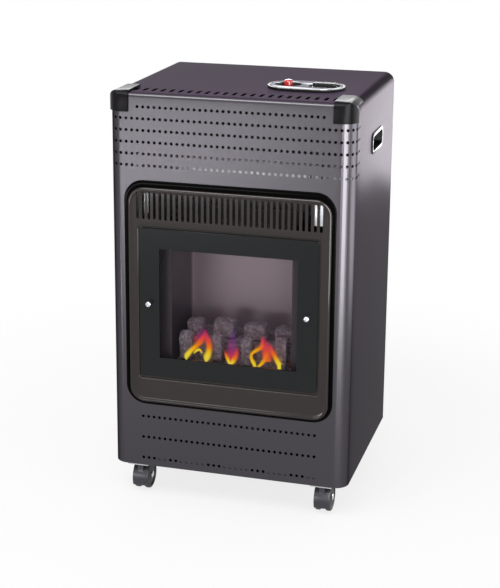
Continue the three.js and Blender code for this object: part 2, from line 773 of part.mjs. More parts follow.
function burnerTray() {
  const rear = LINER_BACK - 5 * SHEET;
  const section = foldedSheet([
    [BED_FRONT + SHEET, BED_UNDERSIDE - GAP],
    [BED_FRONT + SHEET, TRAY_FLOOR],
    [rear, TRAY_FLOOR],
    [rear, BED_UNDERSIDE - GAP],
  ]);
  return alongX(section, -FIREBOX_HALF + GAP, FIREBOX_HALF - GAP);
}

function fireboxRoof() {
  const section = foldedSheet([
    [ROOF_FRONT, FIREBOX_TOP + 20],
    [ROOF_FRONT, FIREBOX_TOP - 6],
    [LINER_BACK - 2 * SHEET, FIREBOX_TOP - 44],
  ]);
  return alongX(section, -FIREBOX_HALF + GAP, FIREBOX_HALF - GAP);
}

function burnerTube() {
  const start = -FIREBOX_HALF + GAP;
  const tube = cylinderX(BURNER_Y, BURNER_Z, BURNER_RADIUS, start, BURNER_END, 16);
  const bore = cylinderX(BURNER_Y, BURNER_Z, BURNER_RADIUS - BURNER_WALL, start + 2, BURNER_END + 1, 12);
  const ports = [];
  for (let x = -80; x <= 80; x += 20) {
    ports.push(boxGeometry(x - 1, x + 1, BURNER_Y - 4, BURNER_Y + 4, BURNER_Z + 8, BED_TOP));
  }
  return tube.subtract(bore).subtract(solid(mergeGeometries(ports)));
}

function emberBed() {
  const half = FIREBOX_HALF - 2 * GAP;
  const section = polygon([
    [BED_FRONT, BED_UNDERSIDE],
    [LINER_BACK - SHEET - GAP, BED_UNDERSIDE],
    [LINER_BACK - SHEET - GAP, LEDGE_TOP],
    [LEDGE_Y, LEDGE_TOP],
    [LEDGE_Y - 3, BED_TOP],
    [BED_FRONT + 4, BED_TOP],
    [BED_FRONT, BED_TOP - 4],
  ]);
  const burnerSlot = box(-88, 80, BURNER_Y - 3, BURNER_Y + 3, BED_UNDERSIDE - 1, BED_TOP + 1);
  const pilotNotch = box(84, half + 1, 20, 41, BED_UNDERSIDE - 1, BED_TOP + 1);
  return alongX(section, -half, half).subtract(burnerSlot).subtract(pilotNotch);
}

// Ceramic coals: [middle x, width, height, setback]; each row shares its depth and seat.
const BACK_COALS = { y: 82, depth: 38, seat: LEDGE_TOP, pieces: [
  [-82, 38, 32],
  [-28, 54, 37],
  [29, 56, 34],
  [81, 44, 31],
] };
const FRONT_COALS = { y: 46, depth: 26, seat: BED_TOP, pieces: [
  [-88, 34, 57],
  [-31, 24, 60],
  [22, 26, 56],
  [82, 28, 59, 8],
] };

// A broken lump: a sphere pushed in and out by a fixed pattern, flat where it sits.
function coal(row, [x, width, height, setback = 0], seed) {
  const depth = row.depth - setback;
  const y = row.y + setback / 2;
  const geometry = new THREE.IcosahedronGeometry(1, 1);
  const point = new THREE.Vector3();
  const places = geometry.attributes.position;
  for (let i = 0; i < places.count; i++) {
    point.fromBufferAttribute(places, i);
    const wave = Math.sin(3.1 * point.x + seed) * Math.cos(2.7 * point.y - seed);
    const chop = Math.sin(4.3 * point.z + 2 * seed);
    const blunt = Math.max(Math.abs(point.x), Math.abs(point.y), Math.abs(point.z));
    const swell = (0.86 + 0.05 * wave + 0.04 * chop) / (0.5 + 0.5 * blunt);
    places.setXYZ(i, point.x * swell, point.y * swell, point.z * swell);
  }
  geometry.scale(width / 2 / 1.05, depth / 2 / 1.05, height / 1.7);
  geometry.translate(x, y, row.seat + height * 0.45);
  const room = box(
    x - width / 2,
    x + width / 2,
    y - depth / 2,
    y + depth / 2,
    row.seat + GAP,
    row.seat + height,
  );
  return solid(geometry).intersect(room);
}

// ---------------------------------------------------------------- partition and deflector
function partition() {
  const half = HALF_WIDTH - SHEET - GAP;
  const section = foldedSheet([
    [half, PARTITION_Y - RETURN],
    [half, PARTITION_Y + SHEET],
    [-half, PARTITION_Y + SHEET],
    [-half, PARTITION_Y - RETURN],
  ]);
  return alongZ(section, TRAY_TOP + GAP, PARTITION_TOP).add(
    box(
      -half + 3,
      half - 3,
      PARTITION_Y,
      PARTITION_Y + SHEET,
      CABINET_BASE + TRAY_SHEET + GAP,
      TRAY_TOP + 1,
    ),
  );
}

const LEAD_PORT = { x0: 96, x1: 140, y0: 110, y1: 134 };

function heatDeflector() {
  const half = HALF_WIDTH - SHEET - GAP;
  const section = foldedSheet([
    [DEFLECTOR_FRONT, DEFLECTOR_TOP + DEFLECTOR_EDGE],
    [DEFLECTOR_FRONT + 5, DEFLECTOR_TOP],
    [PARTITION_Y - 16, PARTITION_TOP + 5],
    [PARTITION_Y + SHEET, PARTITION_TOP + GAP],
  ]);
  const port = box(
    LEAD_PORT.x0,
    LEAD_PORT.x1,
    LEAD_PORT.y0,
    LEAD_PORT.y1,
    PARTITION_TOP - 5,
    PARTITION_TOP + 45,
  );
  return alongX(section, -half, half).subtract(port);
}

// ---------------------------------------------------------------- controls
function controlBezel() {
  const rim = alongZ(controlOutline(0), CABINET_TOP + GAP, RIM_TOP);
  const tub = alongZ(controlOutline(CONTROL_LIP + 2 * GAP), TUB_FLOOR, CABINET_TOP + 1);
  const bored = (x, radius, floor) => cylinderZ(x, CONTROL_Y, radius, floor, RIM_TOP + 1);
  const cuts = [
    alongZ(controlOutline(CONTROL_LIP), RIM_TOP - CONTROL_SEAT, RIM_TOP + 1),
    bored(BUTTON_X, BUTTON_WELL / 2, CABINET_TOP - BUTTON_WELL_DEPTH),
    bored(KNOB_X, KNOB_WELL / 2, CABINET_TOP - KNOB_WELL_DEPTH),
    bored(BUTTON_X, BUTTON_DIAMETER / 2 + GAP, TUB_FLOOR - 1),
    bored(KNOB_X, SPINDLE_DIAMETER / 2 + 1, TUB_FLOOR - 1),
  ];
  return cuts.reduce((bezel, cut) => bezel.subtract(cut), rim.add(tub));
}

function controlPlate() {
  const base = RIM_TOP - CONTROL_SEAT + GAP;
  const plate = alongZ(controlOutline(CONTROL_LIP + GAP), base, base + CONTROL_SHEET);
  return plate
    .subtract(cylinderZ(BUTTON_X, CONTROL_Y, BUTTON_WELL / 2, base - 1, base + 3, 20))
    .subtract(cylinderZ(KNOB_X, CONTROL_Y, KNOB_WELL / 2, base - 1, base + 3, 20));
}

function controlBracket() {
  const left = CONTROL_X - CONTROL_LENGTH / 2;
  const right = CONTROL_X + CONTROL_LENGTH / 2;
  const under = CABINET_TOP - SHEET - GAP;
  const section = foldedSheet(
    [
      [left - 10, under],
      [left, under],
      [left, BRACKET_TOP],
      [right, BRACKET_TOP],
      [right, under],
      [right + 10, under],
    ].reverse(),
  );
  return alongY(section, CONTROL_Y - 20, CONTROL_Y + 20)
    .subtract(cylinderZ(BUTTON_X, CONTROL_Y, 9 + GAP, BRACKET_TOP - 4, BRACKET_TOP + 4, 16))
    .subtract(cylinderZ(KNOB_X, CONTROL_Y, 11 + GAP, BRACKET_TOP - 4, BRACKET_TOP + 4, 16));
}

const BUTTON_STEM = TUB_FLOOR - 14; // lower end of the button's stem
const IGNITER_BODY = 54; // igniter below the bracket, and its terminal below that
const IGNITER_TERMINAL = 8;

function ignitionButton() {
  const radius = BUTTON_DIAMETER / 2;
  const top = RIM_TOP + BUTTON_RISE;
  const stem = SPINDLE_DIAMETER / 2;
  const profile = [
    [0, BUTTON_STEM],
    [stem, BUTTON_STEM],
    [stem, TUB_FLOOR + BUTTON_TRAVEL + 1],
    [radius, TUB_FLOOR + BUTTON_TRAVEL + 1],
    [radius, top - 4],
    [radius * 0.87, top - 1.8],
    [radius * 0.5, top - 0.4],
    [0, top],
  ];
  return solid(turned(profile, 14).translate(BUTTON_X, CONTROL_Y, 0));
}

function piezoIgniter() {
  const bore = SPINDLE_DIAMETER / 2 + GAP;
  const under = BRACKET_TOP - SHEET - GAP;
  const body = BRACKET_TOP - IGNITER_BODY;
  const stop = BUTTON_STEM - BUTTON_TRAVEL - 1;
  const profile = [
    [0, body - IGNITER_TERMINAL],
    [2.5, body - IGNITER_TERMINAL],
    [2.5, body],
    [9, body],
    [9, under - 4],
    [12, under - 4],
    [12, under],
    [9, under],
    [9, TUB_FLOOR - GAP],
    [bore, TUB_FLOOR - GAP],
    [bore, stop],
    [0, stop],
  ];
  return solid(turned(profile, 14).translate(BUTTON_X, CONTROL_Y, 0));
}

const ROTOR_RADIUS = 7;
const ROTOR_TOP = BRACKET_TOP + 6;
const ROTOR_BASE = BRACKET_TOP - 24;
const SPINDLE_BASE = BRACKET_TOP - 16;

function controlKnob() {
  const radius = KNOB_DIAMETER / 2;
  const base = CABINET_TOP - KNOB_WELL_DEPTH + KNOB_TRAVEL + 1;
  const top = CABINET_TOP + KNOB_FACE;
  const profile = [
    [0, SPINDLE_BASE],
    [SPINDLE_DIAMETER / 2, SPINDLE_BASE],
    [SPINDLE_DIAMETER / 2, base],
    [radius, base],
    [radius, top - 2.5],
    [radius - 2, top],
    [0, top],
  ];
  const body = solid(turned(profile, 20).translate(KNOB_X, CONTROL_Y, 0));
  const grip = alongZ(
    roundedRect(KNOB_X - radius + 3, KNOB_X + radius - 3, CONTROL_Y - 4.5, CONTROL_Y + 4.5, 4),
    top - 1,
    top + KNOB_GRIP,
    1,
  );
  return body.add(grip);
}

function valveRotor() {
  const bore = SPINDLE_DIAMETER / 2 + GAP;
  const profile = [
    [0, ROTOR_BASE],
    [ROTOR_RADIUS, ROTOR_BASE],
    [ROTOR_RADIUS, ROTOR_TOP],
    [bore, ROTOR_TOP],
    [bore, SPINDLE_BASE - KNOB_TRAVEL - 0.5],
    [0, SPINDLE_BASE - KNOB_TRAVEL - 0.5],
  ];
  return solid(turned(profile, 16).translate(KNOB_X, CONTROL_Y, 0));
}

const VALVE_BASE = BRACKET_TOP - 48;
const VALVE_OUTLET_Y = CONTROL_Y - 16;

function gasValve() {
  const under = BRACKET_TOP - SHEET - GAP;
  const block = alongZ(
    roundedRect(KNOB_X - 21, KNOB_X + 21, CONTROL_Y - 22, CONTROL_Y + 18, 6),
    VALVE_BASE,
    under,
    1,
  );
  const turret = cylinderZ(KNOB_X, CONTROL_Y, 11, under - 1, ROTOR_TOP - 1);
  const outlet = cylinderZ(KNOB_X, VALVE_OUTLET_Y, 7, VALVE_BASE - 7, VALVE_BASE + 1, 12);
  const inlet = cylinderY(KNOB_X, VALVE_BASE + 16, 8, CONTROL_Y + 17, CONTROL_Y + 26, 12);
  const lead = cylinderZ(KNOB_X - 12, CONTROL_Y - 12, 4, VALVE_BASE - 5, VALVE_BASE + 1, 10);
  const rotorBore = cylinderZ(
    KNOB_X,
    CONTROL_Y,
    boreRadius(ROTOR_RADIUS, 16),
    ROTOR_BASE - GAP,
    ROTOR_TOP + 1,
    16,
  );
  return union(block, turret, outlet, inlet, lead).subtract(rotorBore);
}

// Barbed hose tail that points into the cylinder bay.
function inletNozzle() {
  const barbs = [];
  for (let i = 0; i < 3; i++) {
    const start = 8 + i * 7;
    barbs.push([4.4, start], [5.4, start + 1], [4.4, start + 7]);
  }
  const profile = [[1.8, 0], [8, 0], [8, 7], [4.4, 7], ...barbs, [3.8, 31], [1.8, 31], [1.8, 0]];
  const geometry = turned(profile, 12).rotateX(-Math.PI / 2);
  return solid(geometry.translate(KNOB_X, CONTROL_Y + 26 + GAP, VALVE_BASE + 16));
}

// ---------------------------------------------------------------- gas train and pilot
const INJECTOR_X = 152;

function injectorHolder() {
  const body = cylinderX(BURNER_Y, BURNER_Z, 9, BURNER_END + GAP, BURNER_END + 26, 16);
  const boss = cylinderZ(INJECTOR_X, BURNER_Y, 7, BURNER_Z, BURNER_Z + 20, 12);
  const jet = cylinderX(BURNER_Y, BURNER_Z, 3, BURNER_END - 8, BURNER_END + 1, 10);
  return union(body, boss, jet);
}

function gasPipe() {
  return rod(
    [
      [INJECTOR_X, BURNER_Y, BURNER_Z + 20 + GAP],
      [INJECTOR_X, BURNER_Y, BURNER_Z + 40],
      [INJECTOR_X - 3, BURNER_Y + 22, BURNER_Z + 75],
      [KNOB_X + 6, VALVE_OUTLET_Y - 14, BURNER_Z + 140],
      [KNOB_X, VALVE_OUTLET_Y, BURNER_Z + 200],
      [KNOB_X, VALVE_OUTLET_Y, VALVE_BASE - 80],
      [KNOB_X, VALVE_OUTLET_Y, VALVE_BASE - 7 - GAP],
    ],
    4,
    20,
  );
}

const PILOT_X = 91;
const PILOT_Y = 31;
const PROBE_X = PILOT_X + 8;
const PROBE_RADIUS = 1.5; // thermocouple and spark electrode
const SPARK_X = PILOT_X + 7;
const SPARK_Y = PILOT_Y + 6;

function pilotBurner() {
  const floor = TRAY_FLOOR + SHEET + GAP;
  const bridge = BED_TOP + 1;
  const slot = PROBE_RADIUS + GAP;
  return union(
    box(PILOT_X - 5, PILOT_X + 6, PILOT_Y - 4, PILOT_Y + 4, floor, floor + 2),
    cylinderZ(PILOT_X, PILOT_Y, 3, floor + 1, bridge + 8, 12),
    cylinderZ(PILOT_X, PILOT_Y, 4.5, bridge + 7, bridge + 14, 12),
    box(PILOT_X - 4, PILOT_X + 12, PILOT_Y - 4, PILOT_Y + 9, bridge, bridge + 2),
  )
    .subtract(box(PROBE_X - slot, PILOT_X + 13, PILOT_Y - slot, PILOT_Y + slot, bridge - 1, bridge + 3))
    .subtract(box(SPARK_X - slot, PILOT_X + 13, SPARK_Y - slot, SPARK_Y + slot, bridge - 1, bridge + 3));
}

function thermocouple() {
  return rod(
    [
      [PROBE_X, PILOT_Y, BED_TOP + 18],
      [PROBE_X, PILOT_Y, BED_TOP + 8],
      [PROBE_X, PILOT_Y, BED_TOP],
      [PROBE_X + 2, PILOT_Y, BED_TOP - 4.5],
      [FIREBOX_HALF + 1, PILOT_Y, BED_TOP - 5.5],
      [FIREBOX_HALF + 8, PILOT_Y + 8, BED_TOP + 2],
      [KNOB_X - 14, CONTROL_Y - 30, BED_TOP + 90],
      [KNOB_X - 12, CONTROL_Y - 12, BED_TOP + 170],
      [KNOB_X - 12, CONTROL_Y - 12, VALVE_BASE - 60],
      [KNOB_X - 12, CONTROL_Y - 12, VALVE_BASE - 5 - GAP],
    ],
    PROBE_RADIUS,
    30,
    6,
  );
}

// High-voltage lead from the igniter, ending as the spark electrode beside the pilot.
function ignitionLead() {
  const start = BRACKET_TOP - IGNITER_BODY - IGNITER_TERMINAL - GAP;
  const portX = LEAD_PORT.x0 + 15;
  const portY = LEAD_PORT.y0 + 6;
  return rod(
    [
      [BUTTON_X, CONTROL_Y, start],
      [BUTTON_X, CONTROL_Y, start - 10],
      [BUTTON_X + 24, CONTROL_Y - 8, start - 22],
      [portX, portY, start - 40],
      [portX, portY, start - 110],
      [FIREBOX_HALF + 11, portY - 18, BED_TOP + 150],
      [FIREBOX_HALF + 15, SPARK_Y + 33, BED_TOP + 50],
      [FIREBOX_HALF + 12, SPARK_Y + 10, BED_TOP + 18],
      [FIREBOX_HALF + 2, SPARK_Y + 1, BED_TOP + 8],
      [SPARK_X + 2, SPARK_Y, BED_TOP + 6],
      [SPARK_X, SPARK_Y, BED_TOP + 12],
    ],
    PROBE_RADIUS,
    40,
    6,
  );
}

// ---------------------------------------------------------------- castors, about their swivel axis
const AXLE_Z = WHEEL_DIAMETER / 2;
const PLATE_BASE = CABINET_BASE - GAP - PLATE_THICK;
const HOOD_TOP = PLATE_BASE - 1.5;

function castorPlate() {
  const half = PLATE_SIZE / 2;
  const plate = alongZ(roundedRect(-half, half, -half, half, 4), PLATE_BASE, CABINET_BASE - GAP, 1);
  return union(
    plate,
    cylinderZ(0, 0, 10, HOOD_TOP + GAP, PLATE_BASE + 1, 10),
    cylinderZ(0, 0, STEM_DIAMETER / 2, HOOD_TOP - STEM_LENGTH, PLATE_BASE, 8),
  );
}

// Twin-wheel castor body: a web between the wheels under a hood over their front.
function castorHood() {
  const inner = WHEEL_DIAMETER / 2 + HOOD_ROOM;
  const outer = inner + HOOD_WALL;
  const halfWidth = CASTOR_WEB / 2 + 2 * GAP + WHEEL_WIDTH;
  const centre = CASTOR_TRAIL;
  const ring = cylinderX(centre, AXLE_Z, outer, -halfWidth, halfWidth, 16).subtract(
    cylinderX(centre, AXLE_Z, inner, -halfWidth - 1, halfWidth + 1, 16),
  );
  const cover = box(
    -halfWidth - 1,
    halfWidth + 1,
    centre - outer - 1,
    centre + 8,
    HOOD_SKIRT,
    HOOD_TOP,
  );
  const web = cylinderX(centre, AXLE_Z, inner + 1, -CASTOR_WEB / 2, CASTOR_WEB / 2, 16);
  const neck = box(-CASTOR_WEB / 2, CASTOR_WEB / 2, -7, 10, AXLE_Z + 6, HOOD_TOP);
  const socket = cylinderZ(0, 0, SOCKET_RADIUS, HOOD_TOP - 6, HOOD_TOP, 10);
  const stemBore = boreRadius(STEM_DIAMETER / 2, 8);
  const stemEnd = HOOD_TOP - STEM_LENGTH - GAP;
  return union(ring.add(web).intersect(cover), neck, socket)
    .subtract(cylinderZ(0, 0, stemBore, stemEnd, HOOD_TOP + 1, 8))
    .subtract(
      cylinderX(centre, AXLE_Z, boreRadius(SLEEVE_RADIUS, 8), -CASTOR_WEB, CASTOR_WEB, 8),
    );
}

// Both wheels and the sleeve that joins them through the web.
function castorWheels() {
  const inside = CASTOR_WEB / 2 + GAP;
  const radius = WHEEL_DIAMETER / 2;
  const wheel = (side) => {
    const rim = [
      [0, inside],
      [radius, inside],
      [radius, inside + WHEEL_WIDTH - 1.5],
      [radius - 1.5, inside + WHEEL_WIDTH],
      [0, inside + WHEEL_WIDTH],
    ];
    const disc = turned(rim, 20).rotateY((side * Math.PI) / 2);
    return solid(disc.translate(0, CASTOR_TRAIL, AXLE_Z));
  };
  const sleeve = cylinderX(CASTOR_TRAIL, AXLE_Z, SLEEVE_RADIUS, -inside - 1, inside + 1, 8);
  const reach = inside + WHEEL_WIDTH + 1;
  return union(wheel(1), wheel(-1), sleeve).subtract(
    cylinderX(CASTOR_TRAIL, AXLE_Z, boreRadius(AXLE_DIAMETER / 2, 8), -reach, reach, 8),
  );
}

function castorAxle() {
  const reach = CASTOR_WEB / 2 + GAP + WHEEL_WIDTH + GAP;
  const head = SLEEVE_RADIUS + 0.5;
  return union(
    cylinderX(CASTOR_TRAIL, AXLE_Z, AXLE_DIAMETER / 2, -reach - 0.5, reach + 0.5, 8),
    cylinderX(CASTOR_TRAIL, AXLE_Z, head, reach, reach + AXLE_HEAD, 8),
    cylinderX(CASTOR_TRAIL, AXLE_Z, head, -reach - AXLE_HEAD, -reach, 8),
  );
}

// ---------------------------------------------------------------- finishes
function finish(color, roughness, metalness, extra = {}) {
  return new THREE.MeshStandardMaterial({ color, roughness, metalness, ...extra });
}

const PAINT = finish(0x5c5a62, 0.42, 0.55);
const BRONZE = finish(0x3a3432, 0.3, 0.6);
const BLACK_GLOSS = finish(0x101012, 0.22, 0);
const BLACK_PLASTIC = finish(0x18181a, 0.5, 0);
const GLASS = finish(0x2a2d2e, 0.08, 0, { transparent: true, opacity: 0.45 });
const CHROME = finish(0xd8d8dc, 0.12, 1);
const SILVER = finish(0xc4c4c8, 0.3, 0.8);
const RED = finish(0xc81e1e, 0.3, 0);
const LINER = finish(0x6e666a, 0.5, 0.7);
const ZINC = finish(0xa8aaac, 0.4, 0.9);
const BRASS = finish(0xb08d4a, 0.35, 0.9);
const COPPER = finish(0xa8643c, 0.35, 0.9);
const CERAMIC = finish(0x57545c, 0.95, 0);

// ---------------------------------------------------------------- assembly
const heater = new THREE.Group();
const body = new THREE.Group();
body.position.set(0, -MIDDLE_Y, 0);
heater.add(body);

function place(parent, name, manifold, material) {
  const mesh = new THREE.Mesh(geometryOf(manifold), material);
  mesh.name = name;
  parent.add(mesh);
  return mesh;
}

place(body, "front_panel", frontPanel(), PAINT);
place(body, "cabinet_shell", cabinetShell(), PAINT);
place(body, "base_tray", baseTray(), PAINT);
place(body, "rear_cover", rearCover(), PAINT);
for (const [name, side] of [["left", -1], ["right", 1]]) {
  place(body, `corner_cap_${name}`, cornerCap(side), BLACK_GLOSS);
  place(body, `hand_grip_${name}`, handGrip(side), BLACK_PLASTIC);
  place(body, `glass_screw_${name}`, glassStud(side), CHROME);
}
place(body, "surround_trim", surroundTrim(), BLACK_GLOSS);
place(body, "fascia", fascia(), BRONZE);
place(body, "glass_pane", glassPane(), GLASS);

place(body, "firebox_liner", fireboxLiner(), LINER);
place(body, "firebox_roof", fireboxRoof(), ZINC);
place(body, "burner_tray", burnerTray(), LINER);
place(body, "burner_tube", burnerTube(), ZINC);
place(body, "ember_bed", emberBed(), CERAMIC);
BACK_COALS.pieces.forEach((piece, i) =>
  place(body, `coal_back_${i + 1}`, coal(BACK_COALS, piece, i + 1), CERAMIC),
);
FRONT_COALS.pieces.forEach((piece, i) =>
  place(body, `coal_front_${i + 1}`, coal(FRONT_COALS, piece, i + 5), CERAMIC),
);
place(body, "partition", partition(), ZINC);
place(body, "heat_deflector", heatDeflector(), ZINC);

place(body, "control_bezel", controlBezel(), BLACK_PLASTIC);
place(body, "control_plate", controlPlate(), SILVER);
place(body, "control_bracket", controlBracket(), ZINC);
place(body, "ignition_button", ignitionButton(), RED);
place(body, "piezo_igniter", piezoIgniter(), BLACK_PLASTIC);
place(body, "control_knob", controlKnob(), BLACK_PLASTIC);
place(body, "valve_rotor", valveRotor(), BRASS);
place(body, "gas_valve", gasValve(), ZINC);
place(body, "inlet_nozzle", inletNozzle(), BRASS);
place(body, "injector_holder", injectorHolder(), BRASS);
place(body, "gas_pipe", gasPipe(), ZINC);
place(body, "pilot_burner", pilotBurner(), ZINC);
place(body, "thermocouple", thermocouple(), COPPER);
place(body, "ignition_lead", ignitionLead(), BLACK_PLASTIC);

const CASTORS = [
  ["front_left", -CASTOR_X, CASTOR_FRONT_Y],
  ["front_right", CASTOR_X, CASTOR_FRONT_Y],
  ["rear_left", -CASTOR_X, CASTOR_REAR_Y],
  ["rear_right", CASTOR_X, CASTOR_REAR_Y],
];
for (const [name, x, y] of CASTORS) {
  const castor = new THREE.Group();
  castor.position.set(x, y, 0);
  body.add(castor);
  place(castor, `castor_plate_${name}`, castorPlate(), ZINC);
  place(castor, `castor_hood_${name}`, castorHood(), BLACK_PLASTIC);
  place(castor, `castor_wheels_${name}`, castorWheels(), BLACK_PLASTIC);
  place(castor, `castor_axle_${name}`, castorAxle(), CHROME);
}

export default heater;
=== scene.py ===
# Portable gas cabinet heater: the finish of every surface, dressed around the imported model.
# Shapes are drawn in millimetres, with Y from the front panel's face and Z from the floor,
# and at() puts them into the model's own frame.
import math

import bmesh
import bpy
from mathutils import Matrix, Vector, noise

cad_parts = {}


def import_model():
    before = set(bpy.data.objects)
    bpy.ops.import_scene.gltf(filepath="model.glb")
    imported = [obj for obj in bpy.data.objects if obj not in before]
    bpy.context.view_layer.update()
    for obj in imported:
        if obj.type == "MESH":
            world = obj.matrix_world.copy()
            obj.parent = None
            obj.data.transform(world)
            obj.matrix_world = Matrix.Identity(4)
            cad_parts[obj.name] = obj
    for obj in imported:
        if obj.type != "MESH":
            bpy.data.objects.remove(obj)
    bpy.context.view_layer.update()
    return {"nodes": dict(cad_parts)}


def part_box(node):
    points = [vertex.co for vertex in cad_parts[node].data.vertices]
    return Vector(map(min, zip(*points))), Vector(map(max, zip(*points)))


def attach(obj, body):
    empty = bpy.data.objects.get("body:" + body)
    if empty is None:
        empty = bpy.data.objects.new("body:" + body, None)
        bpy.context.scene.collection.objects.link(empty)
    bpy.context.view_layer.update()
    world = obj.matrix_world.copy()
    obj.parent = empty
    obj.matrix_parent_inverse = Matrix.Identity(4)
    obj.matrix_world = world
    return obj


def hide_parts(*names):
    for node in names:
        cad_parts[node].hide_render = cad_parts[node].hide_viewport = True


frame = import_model()

# ---- sizes taken from the frame
MM = 0.001
PANEL_LOW, PANEL_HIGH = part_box("front_panel")
SHELL_LOW, SHELL_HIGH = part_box("cabinet_shell")
FASCIA_LOW, FASCIA_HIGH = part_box("fascia")
GLASS_LOW, GLASS_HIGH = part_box("glass_pane")
BEZEL_LOW, BEZEL_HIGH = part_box("control_bezel")
FRONT = PANEL_LOW.y


def depth_of(y):
    return (y - FRONT) / MM


HALF_WIDTH = PANEL_HIGH.x / MM
BASE = PANEL_LOW.z / MM
TOP = PANEL_HIGH.z / MM
PANEL_BACK = depth_of(PANEL_HIGH.y)
SHELL_FRONT = depth_of(SHELL_LOW.y)
SHELL_BACK = depth_of(SHELL_HIGH.y)
GLASS_HALF = GLASS_HIGH.x / MM
GLASS_BASE = GLASS_LOW.z / MM
GLASS_TOP = GLASS_HIGH.z / MM
FASCIA_FACE = depth_of(FASCIA_LOW.y)
FASCIA_BACK = depth_of(FASCIA_HIGH.y)
FASCIA_HALF = FASCIA_HIGH.x / MM
FASCIA_BASE = FASCIA_LOW.z / MM
FASCIA_TOP = FASCIA_HIGH.z / MM
CONTROL_X = (BEZEL_LOW.x + BEZEL_HIGH.x) / 2 / MM
CONTROL_Y = depth_of((BEZEL_LOW.y + BEZEL_HIGH.y) / 2)
CONTROL_LENGTH = (BEZEL_HIGH.x - BEZEL_LOW.x) / MM
CONTROL_WIDTH = (BEZEL_HIGH.y - BEZEL_LOW.y) / MM
BEZEL_TOP = BEZEL_HIGH.z / MM
TUB_FLOOR = BEZEL_LOW.z / MM
TRIM_BACK = depth_of(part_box("surround_trim")[1].y)

# ---- sizes the frame does not give
SHEET = 1.0
CLEARANCE = 0.3
PAST = 300.0  # beyond every side of the cabinet, for cutters
SIDE_BEND = 25.0
TOP_BEND = 18.0
BROW_BEND = 9.0
ARC_STEPS = 12  # facets in a quarter turn
REAR_FLANGE = 12.0
REAR_FLANGE_BASE = 36.0  # from the cabinet's underside to the foot of that flange
CAP_THICK = 3.2
CAP_WRAP = 18.0  # how far a corner cap's upright part reaches back
CAP_ARM = 6.0  # height of the arm that runs back along the top
CAP_STEPS = 16

OPENING_HALF = 185.0
OPENING_BASE = 177.0
OPENING_TOP = 581.0
OPENING_RADIUS = 35.0
FASCIA_RADIUS = 28.0
FASCIA_ROUND = 4.0
FASCIA_WALL = 2.0
FASCIA_DISH = 1.3  # how far the fascia's field lies behind its rim
GLASS_LAND = 0.3  # depth of the ledge behind the glass
GLASS_LAND_WIDTH = 30.0

HOLE = 5.4
HOLE_PITCH = 10.0
HOLE_SIDES = 12
TOP_ROW_Z = 706.0
TOP_ROW_HOLES = 33
UPPER_ROW_STEP = -20.0
UPPER_ROWS = 5
UPPER_ROW_HOLES = 49
LOWER_ROW_Z = 153.2
LOWER_ROW_STEP = -39.15
LOWER_ROWS = 3
LOWER_ROW_HOLES = 32

VENTS = 23
VENT_PITCH = 15.6
VENT_WIDTH = 6.2
VENT_START = 21.0
VENT_LENGTH = 27.0

GRILLE_SLOTS = 33
GRILLE_PITCH = 10.0
GRILLE_WIDTH = 5.0
GRILLE_BASE = 513.5
GRILLE_LENGTH = 47.0
# spans of the bright plates behind the grille's end slots, a painted reflection
GLINT_PLATE_SPANS = {"left": (-149, -142), "right": (144, 166)}
GLINT_PLATE_BASE = 524.0
GLINT_PLATE_TOP = 562.0

GLASS_MARGIN = 3.0
GLASS_BORDER = 35.0
GLASS_RADIUS = 5.0
STUD_X = 139.5
STUD_Z = 365.0

WELL_SPREAD = 31.5
ABOVE = 800.0  # over everything, for cutters
BUTTON_WELL = 46.0
BUTTON_WELL_DEPTH = 8.0
KNOB_WELL = 54.0
KNOB_WELL_DEPTH = 11.0
BEZEL_RIM = 4.0
BUTTON_DIAMETER = 15.0
KNOB_DIAMETER = 46.0
KNOB_FLUTES = 36
SPINDLE_RADIUS = 4.0

GRIP_Y = 192.0
GRIP_Z = 635.0
GRIP_LENGTH = 88.0
GRIP_HEIGHT = 32.0
GRIP_RADIUS = 10.0

CASTOR_TRAIL = 18.0
WHEEL_RADIUS = 25.0
WHEEL_INSIDE = 5.3
WHEEL_WIDTH = 8.8
CASTOR_PLACES = ("front_left", "front_right", "rear_left", "rear_right")
AXLE_BORE = 5.8
HOOD_THICK = 2.2
HOOD_START, HOOD_END = 62, 208  # degrees about the axle
STEM_RADIUS = 3.8
STEM_DEPTH = 18.3

WHITE = (1.0, 1.0, 1.0, 1.0)


def at(x, y, z):
    """A drawn point, in millimetres, in the model's frame."""
    return Vector((x * MM, FRONT + y * MM, z * MM))


def srgb(red, green, blue):
    """A colour given as 0 to 255 values, as Blender's shaders take it."""

    def linear(value):
        share = value / 255
        return share / 12.92 if share <= 0.04045 else ((share + 0.055) / 1.055) ** 2.4

    return (linear(red), linear(green), linear(blue), 1.0)


# ---- outlines, as lists of (u, v)
def arc(u, v, radius, start, end, steps=ARC_STEPS):
    """Points along an arc; angles in degrees, anticlockwise when end is larger."""
    points = []
    for i in range(steps + 1):
        angle = math.radians(start + (end - start) * i / steps)
        points.append((u + radius * math.cos(angle), v + radius * math.sin(angle)))
    return points


def rounded(u0, u1, v0, v1, radii, steps=ARC_STEPS):
    """A rectangle with rounded corners, anticlockwise from the corner at (u0, v0)."""
    a, b, c, d = radii if isinstance(radii, (list, tuple)) else (radii,) * 4
    corners = [
        (u1 - b, v0 + b, b, -90),
        (u1 - c, v1 - c, c, 0),
        (u0 + d, v1 - d, d, 90),
        (u0 + a, v0 + a, a, 180),
    ]
    points = []
    for u, v, radius, start in corners:
        if radius > 0:
            points += arc(u, v, radius, start, start + 90, steps)
        else:
            points.append((u, v))
    return points


def circle(u, v, radius, sides=48):
    return arc(u, v, radius, 0, 360 * (sides - 1) / sides, sides - 1)


# ---- mesh helpers
AXIS_POINT = {
    "x": lambda u, v, w: at(w, u, v),
    "y": lambda u, v, w: at(u, w, v),
    "z": lambda u, v, w: at(u, v, w),
}


def linked(name, data):
    """A new object of the scene that holds the data."""
    obj = bpy.data.objects.new(name, data)
    bpy.context.scene.collection.objects.link(obj)
    return obj


